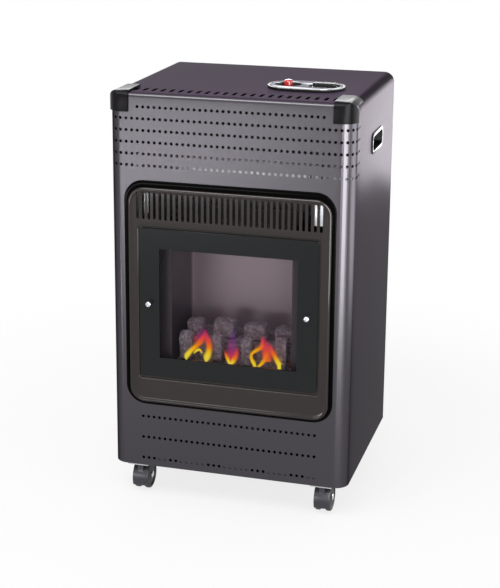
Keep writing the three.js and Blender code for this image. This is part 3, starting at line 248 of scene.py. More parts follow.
def taken(name, bm):
    """An object that takes the bmesh over as it is."""
    mesh = bpy.data.meshes.new(name)
    bm.to_mesh(mesh)
    bm.free()
    return linked(name, mesh)


def mesh_object(name, bm):
    """An object at the origin with its faces pointing out."""
    bmesh.ops.remove_doubles(bm, verts=bm.verts, dist=1e-7)
    bmesh.ops.recalc_face_normals(bm, faces=bm.faces)
    return taken(name, bm)


def prism(name, outline, axis, w0, w1):
    """An outline pushed along an axis."""
    bm = bmesh.new()
    rings = [[bm.verts.new(AXIS_POINT[axis](u, v, w)) for u, v in outline] for w in (w0, w1)]
    for ring in rings:
        bm.faces.new(ring)
    count = len(outline)
    for i in range(count):
        j = (i + 1) % count
        bm.faces.new((rings[0][i], rings[0][j], rings[1][j], rings[1][i]))
    return mesh_object(name, bm)


def loft(name, loops, closed=True):
    """Skins a list of rings of points; a closed one joins its last ring to its first."""
    bm = bmesh.new()
    rings = [[bm.verts.new(point) for point in loop] for loop in loops]
    pairs = list(zip(rings, rings[1:]))
    if closed:
        pairs.append((rings[-1], rings[0]))
    else:
        bm.faces.new(rings[0])
        bm.faces.new(rings[-1])
    count = len(rings[0])
    for lower, upper in pairs:
        for i in range(count):
            j = (i + 1) % count
            bm.faces.new((lower[i], lower[j], upper[j], upper[i]))
    return mesh_object(name, bm)


def lathe(name, profile, axis, centre, sides=40, closed=False):
    """Turns (radius, along) points about an axis; an open profile starts and ends on the axis."""
    rings = []
    for radius, along in profile:
        reach = max(radius, 1e-3)
        ring = []
        for i in range(sides):
            angle = 2 * math.pi * i / sides
            u = centre[0] + reach * math.cos(angle)
            v = centre[1] + reach * math.sin(angle)
            ring.append(AXIS_POINT[axis](u, v, centre[2] + along))
        rings.append(ring)
    return loft(name, rings, closed)


def applied(obj):
    """Replaces the object's mesh by what its modifiers make of it."""
    graph = bpy.context.evaluated_depsgraph_get()
    mesh = bpy.data.meshes.new_from_object(obj.evaluated_get(graph), depsgraph=graph)
    obj.modifiers.clear()
    obj.data = mesh
    return obj


def combine(target, *tools, operation="DIFFERENCE"):
    """Cuts, joins or intersects solids; the tools are used up."""
    for tool in tools:
        boolean = target.modifiers.new("combine", "BOOLEAN")
        boolean.operation = operation
        boolean.solver = "MANIFOLD"
        boolean.object = tool
    applied(target)
    for tool in tools:
        bpy.data.objects.remove(tool)
    return target


def joined(name, pieces):
    """One object that holds several meshes side by side."""
    bm = bmesh.new()
    for piece in pieces:
        bm.from_mesh(piece.data)
        bpy.data.objects.remove(piece)
    return taken(name, bm)


def softened(obj, width, segments=2, angle=35):
    """Rounds the sharp edges by a small bevel."""
    bevel = obj.modifiers.new("edge", "BEVEL")
    bevel.width = width * MM
    bevel.segments = segments
    bevel.limit_method = "ANGLE"
    bevel.angle_limit = math.radians(angle)
    return applied(obj)


def painted(mesh, material):
    mesh.materials.clear()
    mesh.materials.append(material)


def finish(obj, material, body, nodes=(), angle=30):
    """Gives a piece its material and the body it rides on, and hides the nodes that it stands for.
    """
    painted(obj.data, material)
    obj.data.shade_smooth()
    obj.data.set_sharp_from_angle(angle=math.radians(angle))
    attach(obj, body)
    if nodes:
        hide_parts(*nodes)


# ---- shader groups
def link(tree, source, target):
    tree.links.new(source, target)


def math_node(tree, operation, first, second):
    node = tree.nodes.new("ShaderNodeMath")
    node.operation = operation
    for socket, value in zip(node.inputs, (first, second)):
        if isinstance(value, (int, float)):
            socket.default_value = value
        else:
            link(tree, value, socket)
    return node.outputs[0]


def surface_group():
    """Mottle and fine grain over a base colour and roughness."""
    group = bpy.data.node_groups.new("surface_variation", "ShaderNodeTree")
    socket = group.interface.new_socket
    for name, kind, value in (
        ("Colour", "Color", (0.5, 0.5, 0.5, 1)),
        ("Roughness", "Float", 0.5),
        ("Mottle", "Float", 0.1),
        ("Mottle Scale", "Float", 12.0),
        ("Grain", "Float", 0.1),
        ("Grain Scale", "Float", 900.0),
        ("Bump", "Float", 0.1),
    ):
        made = socket(name=name, in_out="INPUT", socket_type="NodeSocket" + kind)
        made.default_value = value
    for name, kind in (("Colour", "Color"), ("Roughness", "Float"), ("Normal", "Vector")):
        socket(name=name, in_out="OUTPUT", socket_type="NodeSocket" + kind)
    given = group.nodes.new("NodeGroupInput")
    made = group.nodes.new("NodeGroupOutput")
    place = group.nodes.new("ShaderNodeTexCoord")
    mottle = group.nodes.new("ShaderNodeTexNoise")
    mottle.inputs["Detail"].default_value = 3
    grain = group.nodes.new("ShaderNodeTexNoise")
    grain.inputs["Detail"].default_value = 2
    for node, scale in ((mottle, "Mottle Scale"), (grain, "Grain Scale")):
        link(group, place.outputs["Object"], node.inputs["Vector"])
        link(group, given.outputs[scale], node.inputs["Scale"])
    wide = math_node(group, "SUBTRACT", mottle.outputs["Fac"], 0.5)
    fine = math_node(group, "SUBTRACT", grain.outputs["Fac"], 0.5)
    wide = math_node(group, "MULTIPLY", wide, given.outputs["Mottle"])
    fine = math_node(group, "MULTIPLY", fine, given.outputs["Grain"])
    change = math_node(group, "ADD", wide, fine)
    gain = math_node(group, "ADD", change, 1.0)
    scaled = group.nodes.new("ShaderNodeVectorMath")
    scaled.operation = "SCALE"
    link(group, given.outputs["Colour"], scaled.inputs[0])
    link(group, gain, scaled.inputs["Scale"])
    link(group, scaled.outputs[0], made.inputs["Colour"])
    rough = math_node(group, "MULTIPLY", gain, given.outputs["Roughness"])
    link(group, rough, made.inputs["Roughness"])
    bump = group.nodes.new("ShaderNodeBump")
    bump.inputs["Distance"].default_value = 0.0004
    link(group, given.outputs["Bump"], bump.inputs["Strength"])
    link(group, grain.outputs["Fac"], bump.inputs["Height"])
    link(group, bump.outputs["Normal"], made.inputs["Normal"])
    return group


SURFACE = surface_group()


def material_base(name):
    material = bpy.data.materials.new(name)
    material.use_nodes = True
    shader = material.node_tree.nodes["Principled BSDF"]
    return material, material.node_tree, shader


def set_inputs(node, values):
    for name, value in values.items():
        node.inputs[name].default_value = value


def surface_node(tree, shader, values):
    """The shared surface group with its inputs set, feeding the shader."""
    group = tree.nodes.new("ShaderNodeGroup")
    group.node_tree = SURFACE
    set_inputs(group, values)
    for output, target in (
        ("Colour", "Base Color"),
        ("Roughness", "Roughness"),
        ("Normal", "Normal"),
    ):
        link(tree, group.outputs[output], shader.inputs[target])
    return group


def ramp_node(tree, stops):
    """A colour ramp from (position, colour) stops; the first and last are its ends."""
    ramp = tree.nodes.new("ShaderNodeValToRGB")
    elements = ramp.color_ramp.elements
    for i, (position, colour) in ((0, stops[0]), (1, stops[-1])):
        elements[i].position = position
        elements[i].color = srgb(*colour)
    for position, colour in stops[1:-1]:
        elements.new(position).color = srgb(*colour)
    return ramp


def finish_material(name, colour, roughness, metallic=0.0, mottle=0.1, mottle_scale=12.0,
                    grain=0.1, grain_scale=900.0, bump=0.1, coat=0.0, coat_roughness=0.05,
                    specular=0.5, edge=WHITE):
    """A painted, plated or moulded surface with its variation."""
    material, tree, shader = material_base(name)
    surface_node(tree, shader, {
        "Colour": colour,
        "Roughness": roughness,
        "Mottle": mottle,
        "Mottle Scale": mottle_scale,
        "Grain": grain,
        "Grain Scale": grain_scale,
        "Bump": bump,
    })
    set_inputs(shader, {
        "Metallic": metallic,
        "Specular IOR Level": specular,
        "Specular Tint": edge,
        "Coat Weight": coat,
        "Coat Roughness": coat_roughness,
    })
    material.diffuse_color = colour
    return material


PAINT = finish_material(
    "anthracite_paint", srgb(68, 66, 70), 0.31, 1.0, mottle=0.05, mottle_scale=5, grain=0.35,
    grain_scale=1600, bump=0.08, edge=srgb(153, 151, 153),
)
FASCIA_PAINT = finish_material(
    "bronze_enamel", srgb(36, 28, 27), 0.4, mottle=0.08, grain=0.08, bump=0.03, coat=0.4,
    coat_roughness=0.08, specular=0.1,
)
CAP_BLACK = finish_material(
    "cap_black", srgb(24, 22, 25), 0.3, mottle=0.1, grain=0.05, bump=0.02, specular=0.05,
)
TRIM_BLACK = finish_material(
    "trim_black", srgb(3, 3, 3), 0.14, mottle=0.1, grain=0.05, bump=0.02, specular=0.03,
)
SATIN_BLACK = finish_material(
    "satin_black", srgb(20, 20, 21), 0.42, mottle=0.15, grain=0.2, grain_scale=1400, bump=0.12,
    specular=0.3,
)
HOOD_GREY = finish_material(
    "castor_hood_grey", srgb(48, 46, 54), 0.35, 0.2, mottle=0.1, grain=0.2, bump=0.08,
)
TYRE = finish_material(
    "tyre", srgb(20, 20, 21), 0.5, mottle=0.2, grain=0.2, bump=0.15, specular=0.3,
)
CHROME = finish_material(
    "chrome", srgb(190, 190, 196), 0.12, 1.0, mottle=0.03, grain=0.02, bump=0.01,
)
SILVER = finish_material(
    "silver_plate", srgb(150, 150, 154), 0.26, 1.0, mottle=0.05, grain=0.12, grain_scale=1800,
    bump=0.03, edge=srgb(124, 124, 126),
)
RED = finish_material(
    "red_button", srgb(205, 26, 24), 0.22, mottle=0.06, grain=0.03, bump=0.02, coat=0.4,
)
# Dark steel for the burner tray, firebox roof and heat deflector: painted shade, so that what shows
# through the grille's slots and the panel's holes reads dark.
DARK_STEEL = finish_material(
    "shade_dark_steel", srgb(38, 35, 36), 0.5, 0.5, mottle=0.4, mottle_scale=14, grain=0.15,
    grain_scale=500, bump=0.06,
)
ZINC = finish_material(
    "zinc_plate", srgb(178, 180, 182), 0.34, 0.9, mottle=0.25, mottle_scale=40, grain=0.15,
    grain_scale=700, bump=0.05,
)
BRASS = finish_material(
    "brass", srgb(190, 150, 84), 0.3, 1.0, mottle=0.1, grain=0.1, bump=0.03,
)
COPPER = finish_material(
    "copper", srgb(184, 110, 70), 0.32, 1.0, mottle=0.15, grain=0.1, bump=0.03,
)
GLASS_PRINT = finish_material(
    "printed_border", srgb(24, 26, 27), 0.12, mottle=0.03, grain=0.02, bump=0.0, specular=0.2,
)


PAINTED_SHADE_START = 126.0  # depths between which the painted shade on the firebox's mouth thins out
PAINTED_SHADE_END = 140.0


def liner_material():
    """Bright steel at the back of the firebox, with painted shade that darkens it towards its
    mouth.
    """
    material, tree, shader = material_base("firebox_steel")
    group = surface_node(tree, shader, {
        "Mottle": 0.25,
        "Mottle Scale": 9,
        "Grain Scale": 500,
        "Bump": 0.05,
        "Roughness": 0.45,
    })
    place = tree.nodes.new("ShaderNodeTexCoord")
    split = tree.nodes.new("ShaderNodeSeparateXYZ")
    link(tree, place.outputs["Object"], split.inputs[0])
    # painted shade: the steel turns dark from the back wall towards the firebox's mouth
    painted_shade = tree.nodes.new("ShaderNodeMapRange")
    painted_shade.interpolation_type = "SMOOTHSTEP"
    set_inputs(painted_shade, {"From Min": at(0, PAINTED_SHADE_START, 0).y, "From Max": at(0, PAINTED_SHADE_END, 0).y})
    link(tree, split.outputs["Y"], painted_shade.inputs["Value"])
    mix = tree.nodes.new("ShaderNodeMix")
    mix.data_type = "RGBA"
    set_inputs(mix, {"A": srgb(44, 37, 42), "B": srgb(140, 125, 133)})
    link(tree, painted_shade.outputs["Result"], mix.inputs["Factor"])
    link(tree, mix.outputs["Result"], group.inputs["Colour"])
    shader.inputs["Metallic"].default_value = 0.5
    return material


LINER = liner_material()


def glass_material():
    """Clear ceramic glass: a faint smoky tint with a reflection."""
    material, _, shader = material_base("clear_glass")
    set_inputs(shader, {
        "Base Color": srgb(40, 38, 44),
        "Roughness": 0.04,
        "Specular IOR Level": 0.06,
        "Alpha": 0.12,
    })
    return material


CLEAR_GLASS = glass_material()


def coal_material():
    """Grey ceramic with pale flecks in a pitted surface."""
    material, tree, shader = material_base("ceramic_coal")
    place = tree.nodes.new("ShaderNodeTexCoord")
    pits = tree.nodes.new("ShaderNodeTexNoise")
    set_inputs(pits, {"Scale": 170, "Detail": 6, "Roughness": 0.65})
    link(tree, place.outputs["Object"], pits.inputs["Vector"])
    ramp = ramp_node(tree, ((0.34, (80, 64, 73)), (0.52, (124, 106, 118)), (0.72, (170, 156, 166))))
    link(tree, pits.outputs["Fac"], ramp.inputs["Fac"])
    link(tree, ramp.outputs["Color"], shader.inputs["Base Color"])
    shader.inputs["Roughness"].default_value = 0.9
    bump = tree.nodes.new("ShaderNodeBump")
    set_inputs(bump, {"Distance": 0.0012, "Strength": 0.6})
    link(tree, pits.outputs["Fac"], bump.inputs["Height"])
    link(tree, bump.outputs["Normal"], shader.inputs["Normal"])
    return material


COAL = coal_material()


def flame_material():
    """Emission by warmth, from violet at the tip through red to yellow, as solid as its body."""
    material, tree, shader = material_base("flame")
    heat = tree.nodes.new("ShaderNodeAttribute")
    heat.attribute_name = "warmth"
    ramp = ramp_node(tree, (
        (0.0, (105, 50, 135)),
        (0.15, (165, 50, 120)),
        (0.3, (220, 52, 82)),
        (0.5, (242, 84, 50)),
        (0.7, (250, 134, 20)),
        (0.88, (255, 200, 16)),
        (1.0, (255, 228, 60)),
    ))
    link(tree, heat.outputs["Fac"], ramp.inputs["Fac"])
    set_inputs(shader, {
        "Base Color": (0, 0, 0, 1),
        "Roughness": 1.0,
        "Specular IOR Level": 0.0,
        "Emission Strength": 1.0,
    })
    link(tree, ramp.outputs["Color"], shader.inputs["Emission Color"])
    fade = tree.nodes.new("ShaderNodeAttribute")
    fade.attribute_name = "body"
    link(tree, fade.outputs["Fac"], shader.inputs["Alpha"])
    return material


FLAME = flame_material()


# ---- punches along a line
def punch_tree():
    """Cuts a tool out of the geometry at even steps along a line, in one or more rows."""
    tree = bpy.data.node_groups.new("punch_rows", "GeometryNodeTree")
    socket = tree.interface.new_socket
    names = {}
    for name, kind in (
        ("Geometry", "Geometry"),
        ("Line", "Object"),
        ("Tool", "Object"),
        ("Count", "Int"),
        ("Rows", "Int"),
        ("Row Step", "Vector"),
        ("Material", "Material"),
    ):
        made = socket(name=name, in_out="INPUT", socket_type="NodeSocket" + kind)
        names[name] = made.identifier
    socket(name="Geometry", in_out="OUTPUT", socket_type="NodeSocketGeometry")
    add = tree.nodes.new
    given = add("NodeGroupInput")
    line = add("GeometryNodeObjectInfo")
    tool = add("GeometryNodeObjectInfo")
    points = add("GeometryNodeResampleCurve")
    tangent = add("GeometryNodeInputTangent")
    turn = add("FunctionNodeAlignRotationToVector")
    turn.axis = "X"
    turn.pivot_axis = "Z"
    stamp = add("GeometryNodeInstanceOnPoints")
    rows = add("GeometryNodeMeshLine")
    repeat = add("GeometryNodeInstanceOnPoints")
    tools = add("GeometryNodeRealizeInstances")
    cut = add("GeometryNodeMeshBoolean")
    cut.operation = "DIFFERENCE"
    cut.solver = "MANIFOLD"
    whole = add("GeometryNodeRealizeInstances")
    paint = add("GeometryNodeSetMaterial")
    result = add("NodeGroupOutput")
    for source, output, target, entry in (
        (given, "Line", line, "Object"),
        (given, "Tool", tool, "Object"),
        (line, "Geometry", points, "Curve"),
        (given, "Count", points, "Count"),
        (points, "Curve", stamp, "Points"),
        (tool, "Geometry", stamp, "Instance"),
        (tangent, "Tangent", turn, "Vector"),
        (turn, "Rotation", stamp, "Rotation"),
        (given, "Rows", rows, "Count"),
        (given, "Row Step", rows, "Offset"),
        (rows, "Mesh", repeat, "Points"),
        (stamp, "Instances", repeat, "Instance"),
        (repeat, "Instances", tools, "Geometry"),
        (given, "Geometry", cut, "Mesh 1"),
        (tools, "Geometry", cut, "Mesh 2"),
        (cut, "Mesh", whole, "Geometry"),
        (whole, "Geometry", paint, "Geometry"),
        (given, "Material", paint, "Material"),
        (paint, "Geometry", result, "Geometry"),
    ):
        link(tree, source.outputs[output], target.inputs[entry])
    return tree, names


PUNCH, PUNCH_SOCKETS = punch_tree()


def line_object(points):
    """A curve through the points, for the punch to walk along."""
    curve = bpy.data.curves.new("punch_line", "CURVE")
    curve.dimensions = "3D"
    spline = curve.splines.new("POLY")
    spline.points.add(len(points) - 1)
    for point, place in zip(spline.points, points):
        point.co = (*place, 1)
    return linked("punch_line", curve)


def straight_line(half_length, y, z):
    return line_object([at(-half_length, y, z), at(half_length, y, z)])


def tool_object(outline, axis, reach):
    """A punch drawn about the origin, with its length across the sheet."""
    obj = prism("punch_tool", outline, axis, -reach, reach)
    obj.data.transform(Matrix.Translation((0, -FRONT, 0)))
    return obj


def punched(obj, line, tool, count, material, rows=1, row_step=(0, 0, 0)):
    """The object with the tool cut out of it along the line."""
    modifier = obj.modifiers.new("punch", "NODES")
    modifier.node_group = PUNCH
    for name, value in (
        ("Line", line),
        ("Tool", tool),
        ("Count", count),
        ("Rows", rows),
        ("Row Step", row_step),
        ("Material", material),
    ):
        modifier[PUNCH_SOCKETS[name]] = value
    applied(obj)
    for helper in (line, tool):
        bpy.data.objects.remove(helper)
    return obj


# ---- cabinet
def cabinet_volume(name, inset, steps=ARC_STEPS):
    """The cabinet's outer form drawn in by an inset, open past its base and its rear."""
    half = HALF_WIDTH - inset
    top = TOP - inset
    below = BASE - 20
    behind = SHELL_BACK + 20

    def bend(radius):
        return max(radius - inset, 0)

    plan = rounded(-half, half, inset, behind, (bend(SIDE_BEND), bend(SIDE_BEND), 0, 0), steps)
    front = rounded(-half, half, below, top, (0, 0, bend(TOP_BEND), bend(TOP_BEND)), steps)
    profile = rounded(inset, behind, below, top, (0, 0, 0, bend(BROW_BEND)), steps)
    volume = prism(name, plan, "z", below, top + 1)
    across = prism("front_form", front, "y", inset - 1, behind + 1)
    along = prism("side_form", profile, "x", -half - 1, half + 1)
    return combine(volume, across, along, operation="INTERSECT")


def block(x0, x1, y0, y1, z0, z1):
    return prism("block", [(x0, y0), (x1, y0), (x1, y1), (x0, y1)], "z", z0, z1)


def sheet_form(name, y0, y1):
    """The outer sheet between two depths."""
    skin = cabinet_volume(name, 0)
    combine(skin, cabinet_volume("inner_form", SHEET))
    return combine(skin, block(-PAST, PAST, y0, y1, BASE, 2 * TOP), operation="INTERSECT")


def wrapped_line(z, half_length):
    """The front panel's section line at a height, out to a developed half length."""
    flat = HALF_WIDTH - SIDE_BEND
    bend_length = SIDE_BEND * math.pi / 2
    points = []
    steps = 240
    for i in range(steps + 1):
        length = -half_length + 2 * half_length * i / steps
        side = math.copysign(1, length)
        over = abs(length) - flat
        if over <= 0:
            x, y = length, 0
        elif over <= bend_length:
            angle = over / SIDE_BEND
            x = side * (flat + SIDE_BEND * math.sin(angle))
            y = SIDE_BEND * (1 - math.cos(angle))
        else:
            x, y = side * HALF_WIDTH, SIDE_BEND + over - bend_length
        points.append(at(x, y, z))
    return line_object(points)


def centred(u, v, half_u, half_v, radius, steps):
    """A rounded outline about its middle."""
    return rounded(u - half_u, u + half_u, v - half_v, v + half_v, radius, steps)


def slot_tool(width, length, axis, reach):
    outline = centred(0, 0, width / 2, length / 2, width / 2 - 0.001, 5)
    return tool_object(outline, axis, reach)


def row_half(count, pitch=HOLE_PITCH):
    return (count - 1) * pitch / 2


def hole_rows(panel, z, holes, rows=1, step=0.0):
    """Rows of round holes along the bent panel, the first at a height."""
    line = wrapped_line(z, row_half(holes))
    tool = tool_object(circle(0, 0, HOLE / 2, HOLE_SIDES), "y", 4)
    punched(panel, line, tool, holes, PAINT, rows, (0, 0, step * MM))


def front_panel():
    panel = sheet_form("front_panel_dressed", -1, PANEL_BACK)
    opening = rounded(-OPENING_HALF, OPENING_HALF, OPENING_BASE, OPENING_TOP, OPENING_RADIUS)
    combine(panel, prism("opening", opening, "y", -1, SIDE_BEND))
    vents = straight_line(row_half(VENTS, VENT_PITCH), VENT_START + VENT_LENGTH / 2, TOP)
    punched(panel, vents, slot_tool(VENT_WIDTH, VENT_LENGTH, "z", 4), VENTS, PAINT)
    hole_rows(panel, TOP_ROW_Z, TOP_ROW_HOLES)
    upper_z = TOP_ROW_Z + UPPER_ROW_STEP
    hole_rows(panel, upper_z, UPPER_ROW_HOLES, UPPER_ROWS, UPPER_ROW_STEP)
    hole_rows(panel, LOWER_ROW_Z, LOWER_ROW_HOLES, LOWER_ROWS, LOWER_ROW_STEP)
    finish(panel, PAINT, "cabinet", ["front_panel"])


def control_outline(margin):
    half = CONTROL_WIDTH / 2 - margin
    return centred(CONTROL_X, CONTROL_Y, CONTROL_LENGTH / 2 - margin, half, half - 0.01, 18)


def grip_outline(margin):
    half_length = GRIP_LENGTH / 2 - margin
    half_height = GRIP_HEIGHT / 2 - margin
    return centred(GRIP_Y, GRIP_Z, half_length, half_height, GRIP_RADIUS - margin, 6)


def cabinet_shell():
    shell = sheet_form("cabinet_shell_dressed", SHELL_FRONT, SHELL_BACK)
    rim = cabinet_volume("rim_outer", SHEET / 2)
    combine(rim, cabinet_volume("rim_inner", SHEET + REAR_FLANGE))
    foot = BASE + REAR_FLANGE_BASE
    rear = block(-PAST, PAST, SHELL_BACK - SHEET, SHELL_BACK, foot, 2 * TOP)
    combine(rim, rear, operation="INTERSECT")
    combine(shell, rim, operation="UNION")
    combine(
        shell,
        prism("control_hole", control_outline(BEZEL_RIM), "z", TOP - 3, TOP + 1),
        prism("grip_hole", grip_outline(1.6), "x", -PAST, PAST),
    )
    finish(shell, PAINT, "cabinet", ["cabinet_shell"])


def corner_cap(side, name):
    low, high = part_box(f"corner_cap_{name}")
    inner = min(abs(low.x), abs(high.x)) / MM
    foot = low.z / MM
    back = depth_of(high.y)
    cap = cabinet_volume(f"corner_cap_{name}_dressed", -CAP_THICK, CAP_STEPS)
    combine(cap, cabinet_volume("cap_inner", -CLEARANCE, CAP_STEPS))
    ahead = -4 * CAP_THICK
    corner = block(side * inner, side * PAST, ahead, CAP_WRAP, foot, 2 * TOP)
    arm = block(side * inner, side * PAST, ahead, back, TOP - CAP_ARM, 2 * TOP)
    combine(corner, arm, operation="UNION")
    combine(cap, corner, operation="INTERSECT")
    softened(cap, 0.9, 3)
    finish(cap, CAP_BLACK, "cabinet", [f"corner_cap_{name}"])


# ---- surround, fascia and glass
def framed_loop(half, base, top, radius, y, margin=0.0, steps=ARC_STEPS):
    outline = rounded(
        -half - margin, half + margin, base - margin, top + margin, radius + margin, steps
    )
    return [at(u, y, v) for u, v in outline]


def framed_loft(name, rows, steps=ARC_STEPS):
    """Skins (shape, depth, margin) rows; a shape is a half width, base, top and radius."""
    return loft(name, [framed_loop(*shape, y, margin, steps) for shape, y, margin in rows])


RIM_SHAPE = (FASCIA_HALF, FASCIA_BASE, FASCIA_TOP, FASCIA_RADIUS)


def surround_trim():
    """The black ring between the panel's opening and the fascia, rounded along its front edge."""
    outer = (OPENING_HALF, OPENING_BASE, OPENING_TOP, OPENING_RADIUS)
    section = [(TRIM_BACK, CLEARANCE), (0.6, CLEARANCE), (-0.4, 0.5), (-0.9, 1.4)]
    rows = [(outer, y, -margin) for y, margin in section]
    rows += [(RIM_SHAPE, y, margin) for y, margin in reversed(section)]
    trim = framed_loft("surround_trim_dressed", rows)
    finish(trim, TRIM_BLACK, "cabinet", ["surround_trim"], 50)


def fascia():
    """Enamelled fascia: rounded rim, shallow dished face, grille and the glass pocket."""
    rim = RIM_SHAPE
    pocket = (
        GLASS_HALF + GLASS_MARGIN,
        GLASS_BASE - 2 * GLASS_MARGIN,
        GLASS_TOP + GLASS_MARGIN,
        GLASS_RADIUS,
    )
    inward = GLASS_LAND_WIDTH
    window = (pocket[0] - inward, pocket[1] + inward, pocket[2] - inward, 3.0)
    wall = FASCIA_WALL
    face = FASCIA_FACE
    field = face + FASCIA_DISH
    rows = [(rim, FASCIA_BACK, 0.0)]
    for i in range(7):
        angle = math.radians(90 * i / 6)
        inset = FASCIA_ROUND * (1 - math.cos(angle))
        rise = FASCIA_ROUND * math.sin(angle)
        rows.append((rim, face + FASCIA_ROUND - rise, -inset))
    rows += [
        (rim, face + 0.1, -5.0),
        (rim, face + 0.5, -6.2),
        (rim, field - 0.2, -7.8),
        (rim, field, -9.4),
        (pocket, field, 1.6),
        (pocket, field + 0.1, 0.7),
        (pocket, field + 0.7, 0.0),
        (pocket, GLASS_LAND, 0.0),
        (window, GLASS_LAND, 0.0),
        (window, GLASS_LAND + wall, 0.0),
        (pocket, GLASS_LAND + wall, wall),
        (pocket, field + wall, wall),
        (rim, field + wall, -9.4),
        (rim, face + wall + 0.6, -5.0),
        (rim, face + 4.5, -wall),
        (rim, FASCIA_BACK, -wall),
    ]
    piece = framed_loft("fascia_dressed", rows)
    slots_half = row_half(GRILLE_SLOTS, GRILLE_PITCH)
    line = straight_line(slots_half, face + wall, GRILLE_BASE + GRILLE_LENGTH / 2)
    slot = slot_tool(GRILLE_WIDTH, GRILLE_LENGTH, "y", wall + 3)
    punched(piece, line, slot, GRILLE_SLOTS, FASCIA_PAINT)
    finish(piece, FASCIA_PAINT, "cabinet", ["fascia"], 40)
    grille_glint_plates(field + wall + 0.8)


def grille_glint_plates(front):
    """Bright zinc plates behind the grille's slots near its ends: a painted reflection, standing
    for the bright reflection seen through those slots.
    """
    for name, (x0, x1) in GLINT_PLATE_SPANS.items():
        glint_plate = block(x0, x1, front, front + 1.2, GLINT_PLATE_BASE, GLINT_PLATE_TOP)
        softened(glint_plate, 0.3)
        finish(glint_plate, ZINC, "cabinet", ())
        glint_plate.name = f"grille_clip_{name}"


def glass_pane():
    """Ceramic glass with ground edges, its border printed dark and its window clear."""
    front = depth_of(GLASS_LOW.y)
    back = depth_of(GLASS_HIGH.y)
    steps = 4
    outline = (GLASS_HALF, GLASS_BASE, GLASS_TOP, GLASS_RADIUS)
    window = (
        GLASS_HALF - GLASS_BORDER,
        GLASS_BASE + GLASS_BORDER,
        GLASS_TOP - GLASS_BORDER,
        0.6,
    )
    ground = 0.6  # width of the ground edge
    rows = [
        (outline, back, -ground),
        (outline, back - ground, 0),
        (outline, front + ground, 0),
        (outline, front, -ground),
        (window, front, 0),
        (window, back, 0),
    ]
    border = framed_loft("glass_border", rows, steps)
    finish(border, GLASS_PRINT, "cabinet", ["glass_pane"], 30)
    clear_outline = rounded(-window[0], window[0], *window[1:], steps)
    clear = prism("glass_window", clear_outline, "y", front, back)
    finish(clear, CLEAR_GLASS, "cabinet", ())


def glass_screw(side, name):
    """A domed cap screw with a round socket, on a spacer sleeve."""
    low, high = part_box(f"glass_screw_{name}")
    front = depth_of(low.y)
    head = 5.0
    profile = [
        (0, front + 1.4),
        (1.6, front + 1.4),
        (1.9, front + 0.5),
        (2.4, front),
        (3.3, front + 0.25),
        (4.3, front + 0.9),
        (head, front + 2.1),
        (head, front + 3.6),
        (4.6, front + 4.0),
        (3.4, front + 4.0),
        (3.4, FASCIA_FACE - 0.3),
        (2.2, FASCIA_FACE - 0.3),
        (2.2, depth_of(high.y)),
        (0, depth_of(high.y)),
    ]
    screw = lathe(f"glass_screw_{name}_dressed", profile, "y", (side * STUD_X, STUD_Z, 0), 32)
    finish(screw, CHROME, "cabinet", [f"glass_screw_{name}"], 40)


# ---- fire
def lump(node, seed):
    """A broken ceramic lump that fills its node's box."""
    low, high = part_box(node)
    centre = (low + high) / 2
    size = (high - low) / 2
    bm = bmesh.new()
    bmesh.ops.create_icosphere(bm, subdivisions=5, radius=1.0)
    shift = Vector((seed * 7.3, seed * 3.1, seed * 5.7))
    for vert in bm.verts:
        p = vert.co.copy()
        big = noise.fractal(p * 1.3 + shift, 1.0, 2.0, 3)
        pits = noise.fractal(p * 5.5 + shift, 0.8, 2.0, 4)
        blunt = max(abs(p.x), abs(p.y), abs(p.z))
        swell = 1 / (0.3 + 0.7 * blunt) * (1 + 0.14 * big + 0.06 * pits)
        vert.co = p * swell
    lowest = [min(v.co[i] for v in bm.verts) for i in range(3)]
    highest = [max(v.co[i] for v in bm.verts) for i in range(3)]
    for vert in bm.verts:
        for i in range(3):
            share = (vert.co[i] - lowest[i]) / (highest[i] - lowest[i])
            vert.co[i] = centre[i] + (2 * share - 1) * size[i]
    finish(mesh_object(f"{node}_dressed", bm), COAL, "cabinet", [node], 180)


def coals():
    for first_seed, row in ((0, "back"), (4, "front")):
        for i in range(1, 5):
            lump(f"coal_{row}_{i}", first_seed + i)


def smooth_path(points, steps=6):
    """Rows of numbers joined by a smooth curve through each of them."""
    rows = []
    last = len(points) - 1
    for i in range(last):
        near = [points[max(min(i + k, last), 0)] for k in (-1, 0, 1, 2)]
        for j in range(steps):
            t = j / steps
            weights = (
                -0.5 * t + t * t - 0.5 * t**3,
                1 - 2.5 * t * t + 1.5 * t**3,
                0.5 * t + 2 * t * t - 1.5 * t**3,
                -0.5 * t * t + 0.5 * t**3,
            )
            rows.append([sum(w * p[c] for w, p in zip(weights, near)) for c in range(len(near[0]))])
    rows.append(list(points[last]))
    return rows


def flame_piece(name, strokes):
    """Soft tongues; a stroke is an offset and (x, z, half width, heat, body) rows, root first."""
    bm = bmesh.new()
    warmth = []
    body = []
    across = ((-1, 0), (-0.7, 0.45), (-0.35, 0.95), (0, 1), (0.35, 0.95), (0.7, 0.45), (1, 0))
    for shift, points in strokes:
        y = FLAME_Y + shift
        rows = smooth_path(points)
        rings = []
        for i, (x, z, half, heat, share) in enumerate(rows):
            ahead = rows[min(i + 1, len(rows) - 1)]
            behind = rows[max(i - 1, 0)]
            run = Vector((ahead[0] - behind[0], ahead[1] - behind[1])).normalized()
            ring = []
            for offset, edge in across:
                side = offset * max(half, 0.3)
                place = at(x + run.y * side, y + 2 * offset * offset, z - run.x * side)
                ring.append(bm.verts.new(place))
                warmth.append(min(max(heat, 0), 1))
                body.append(min(max(share * edge, 0), 1))
            rings.append(ring)
        for lower, upper in zip(rings, rings[1:]):
            for i in range(len(across) - 1):
                bm.faces.new((lower[i], lower[i + 1], upper[i + 1], upper[i]))
    obj = taken(name, bm)
    for label, values in (("warmth", warmth), ("body", body)):
        obj.data.attributes.new(label, "FLOAT", "POINT").data.foreach_set("value", values)
    finish(obj, FLAME, "cabinet")


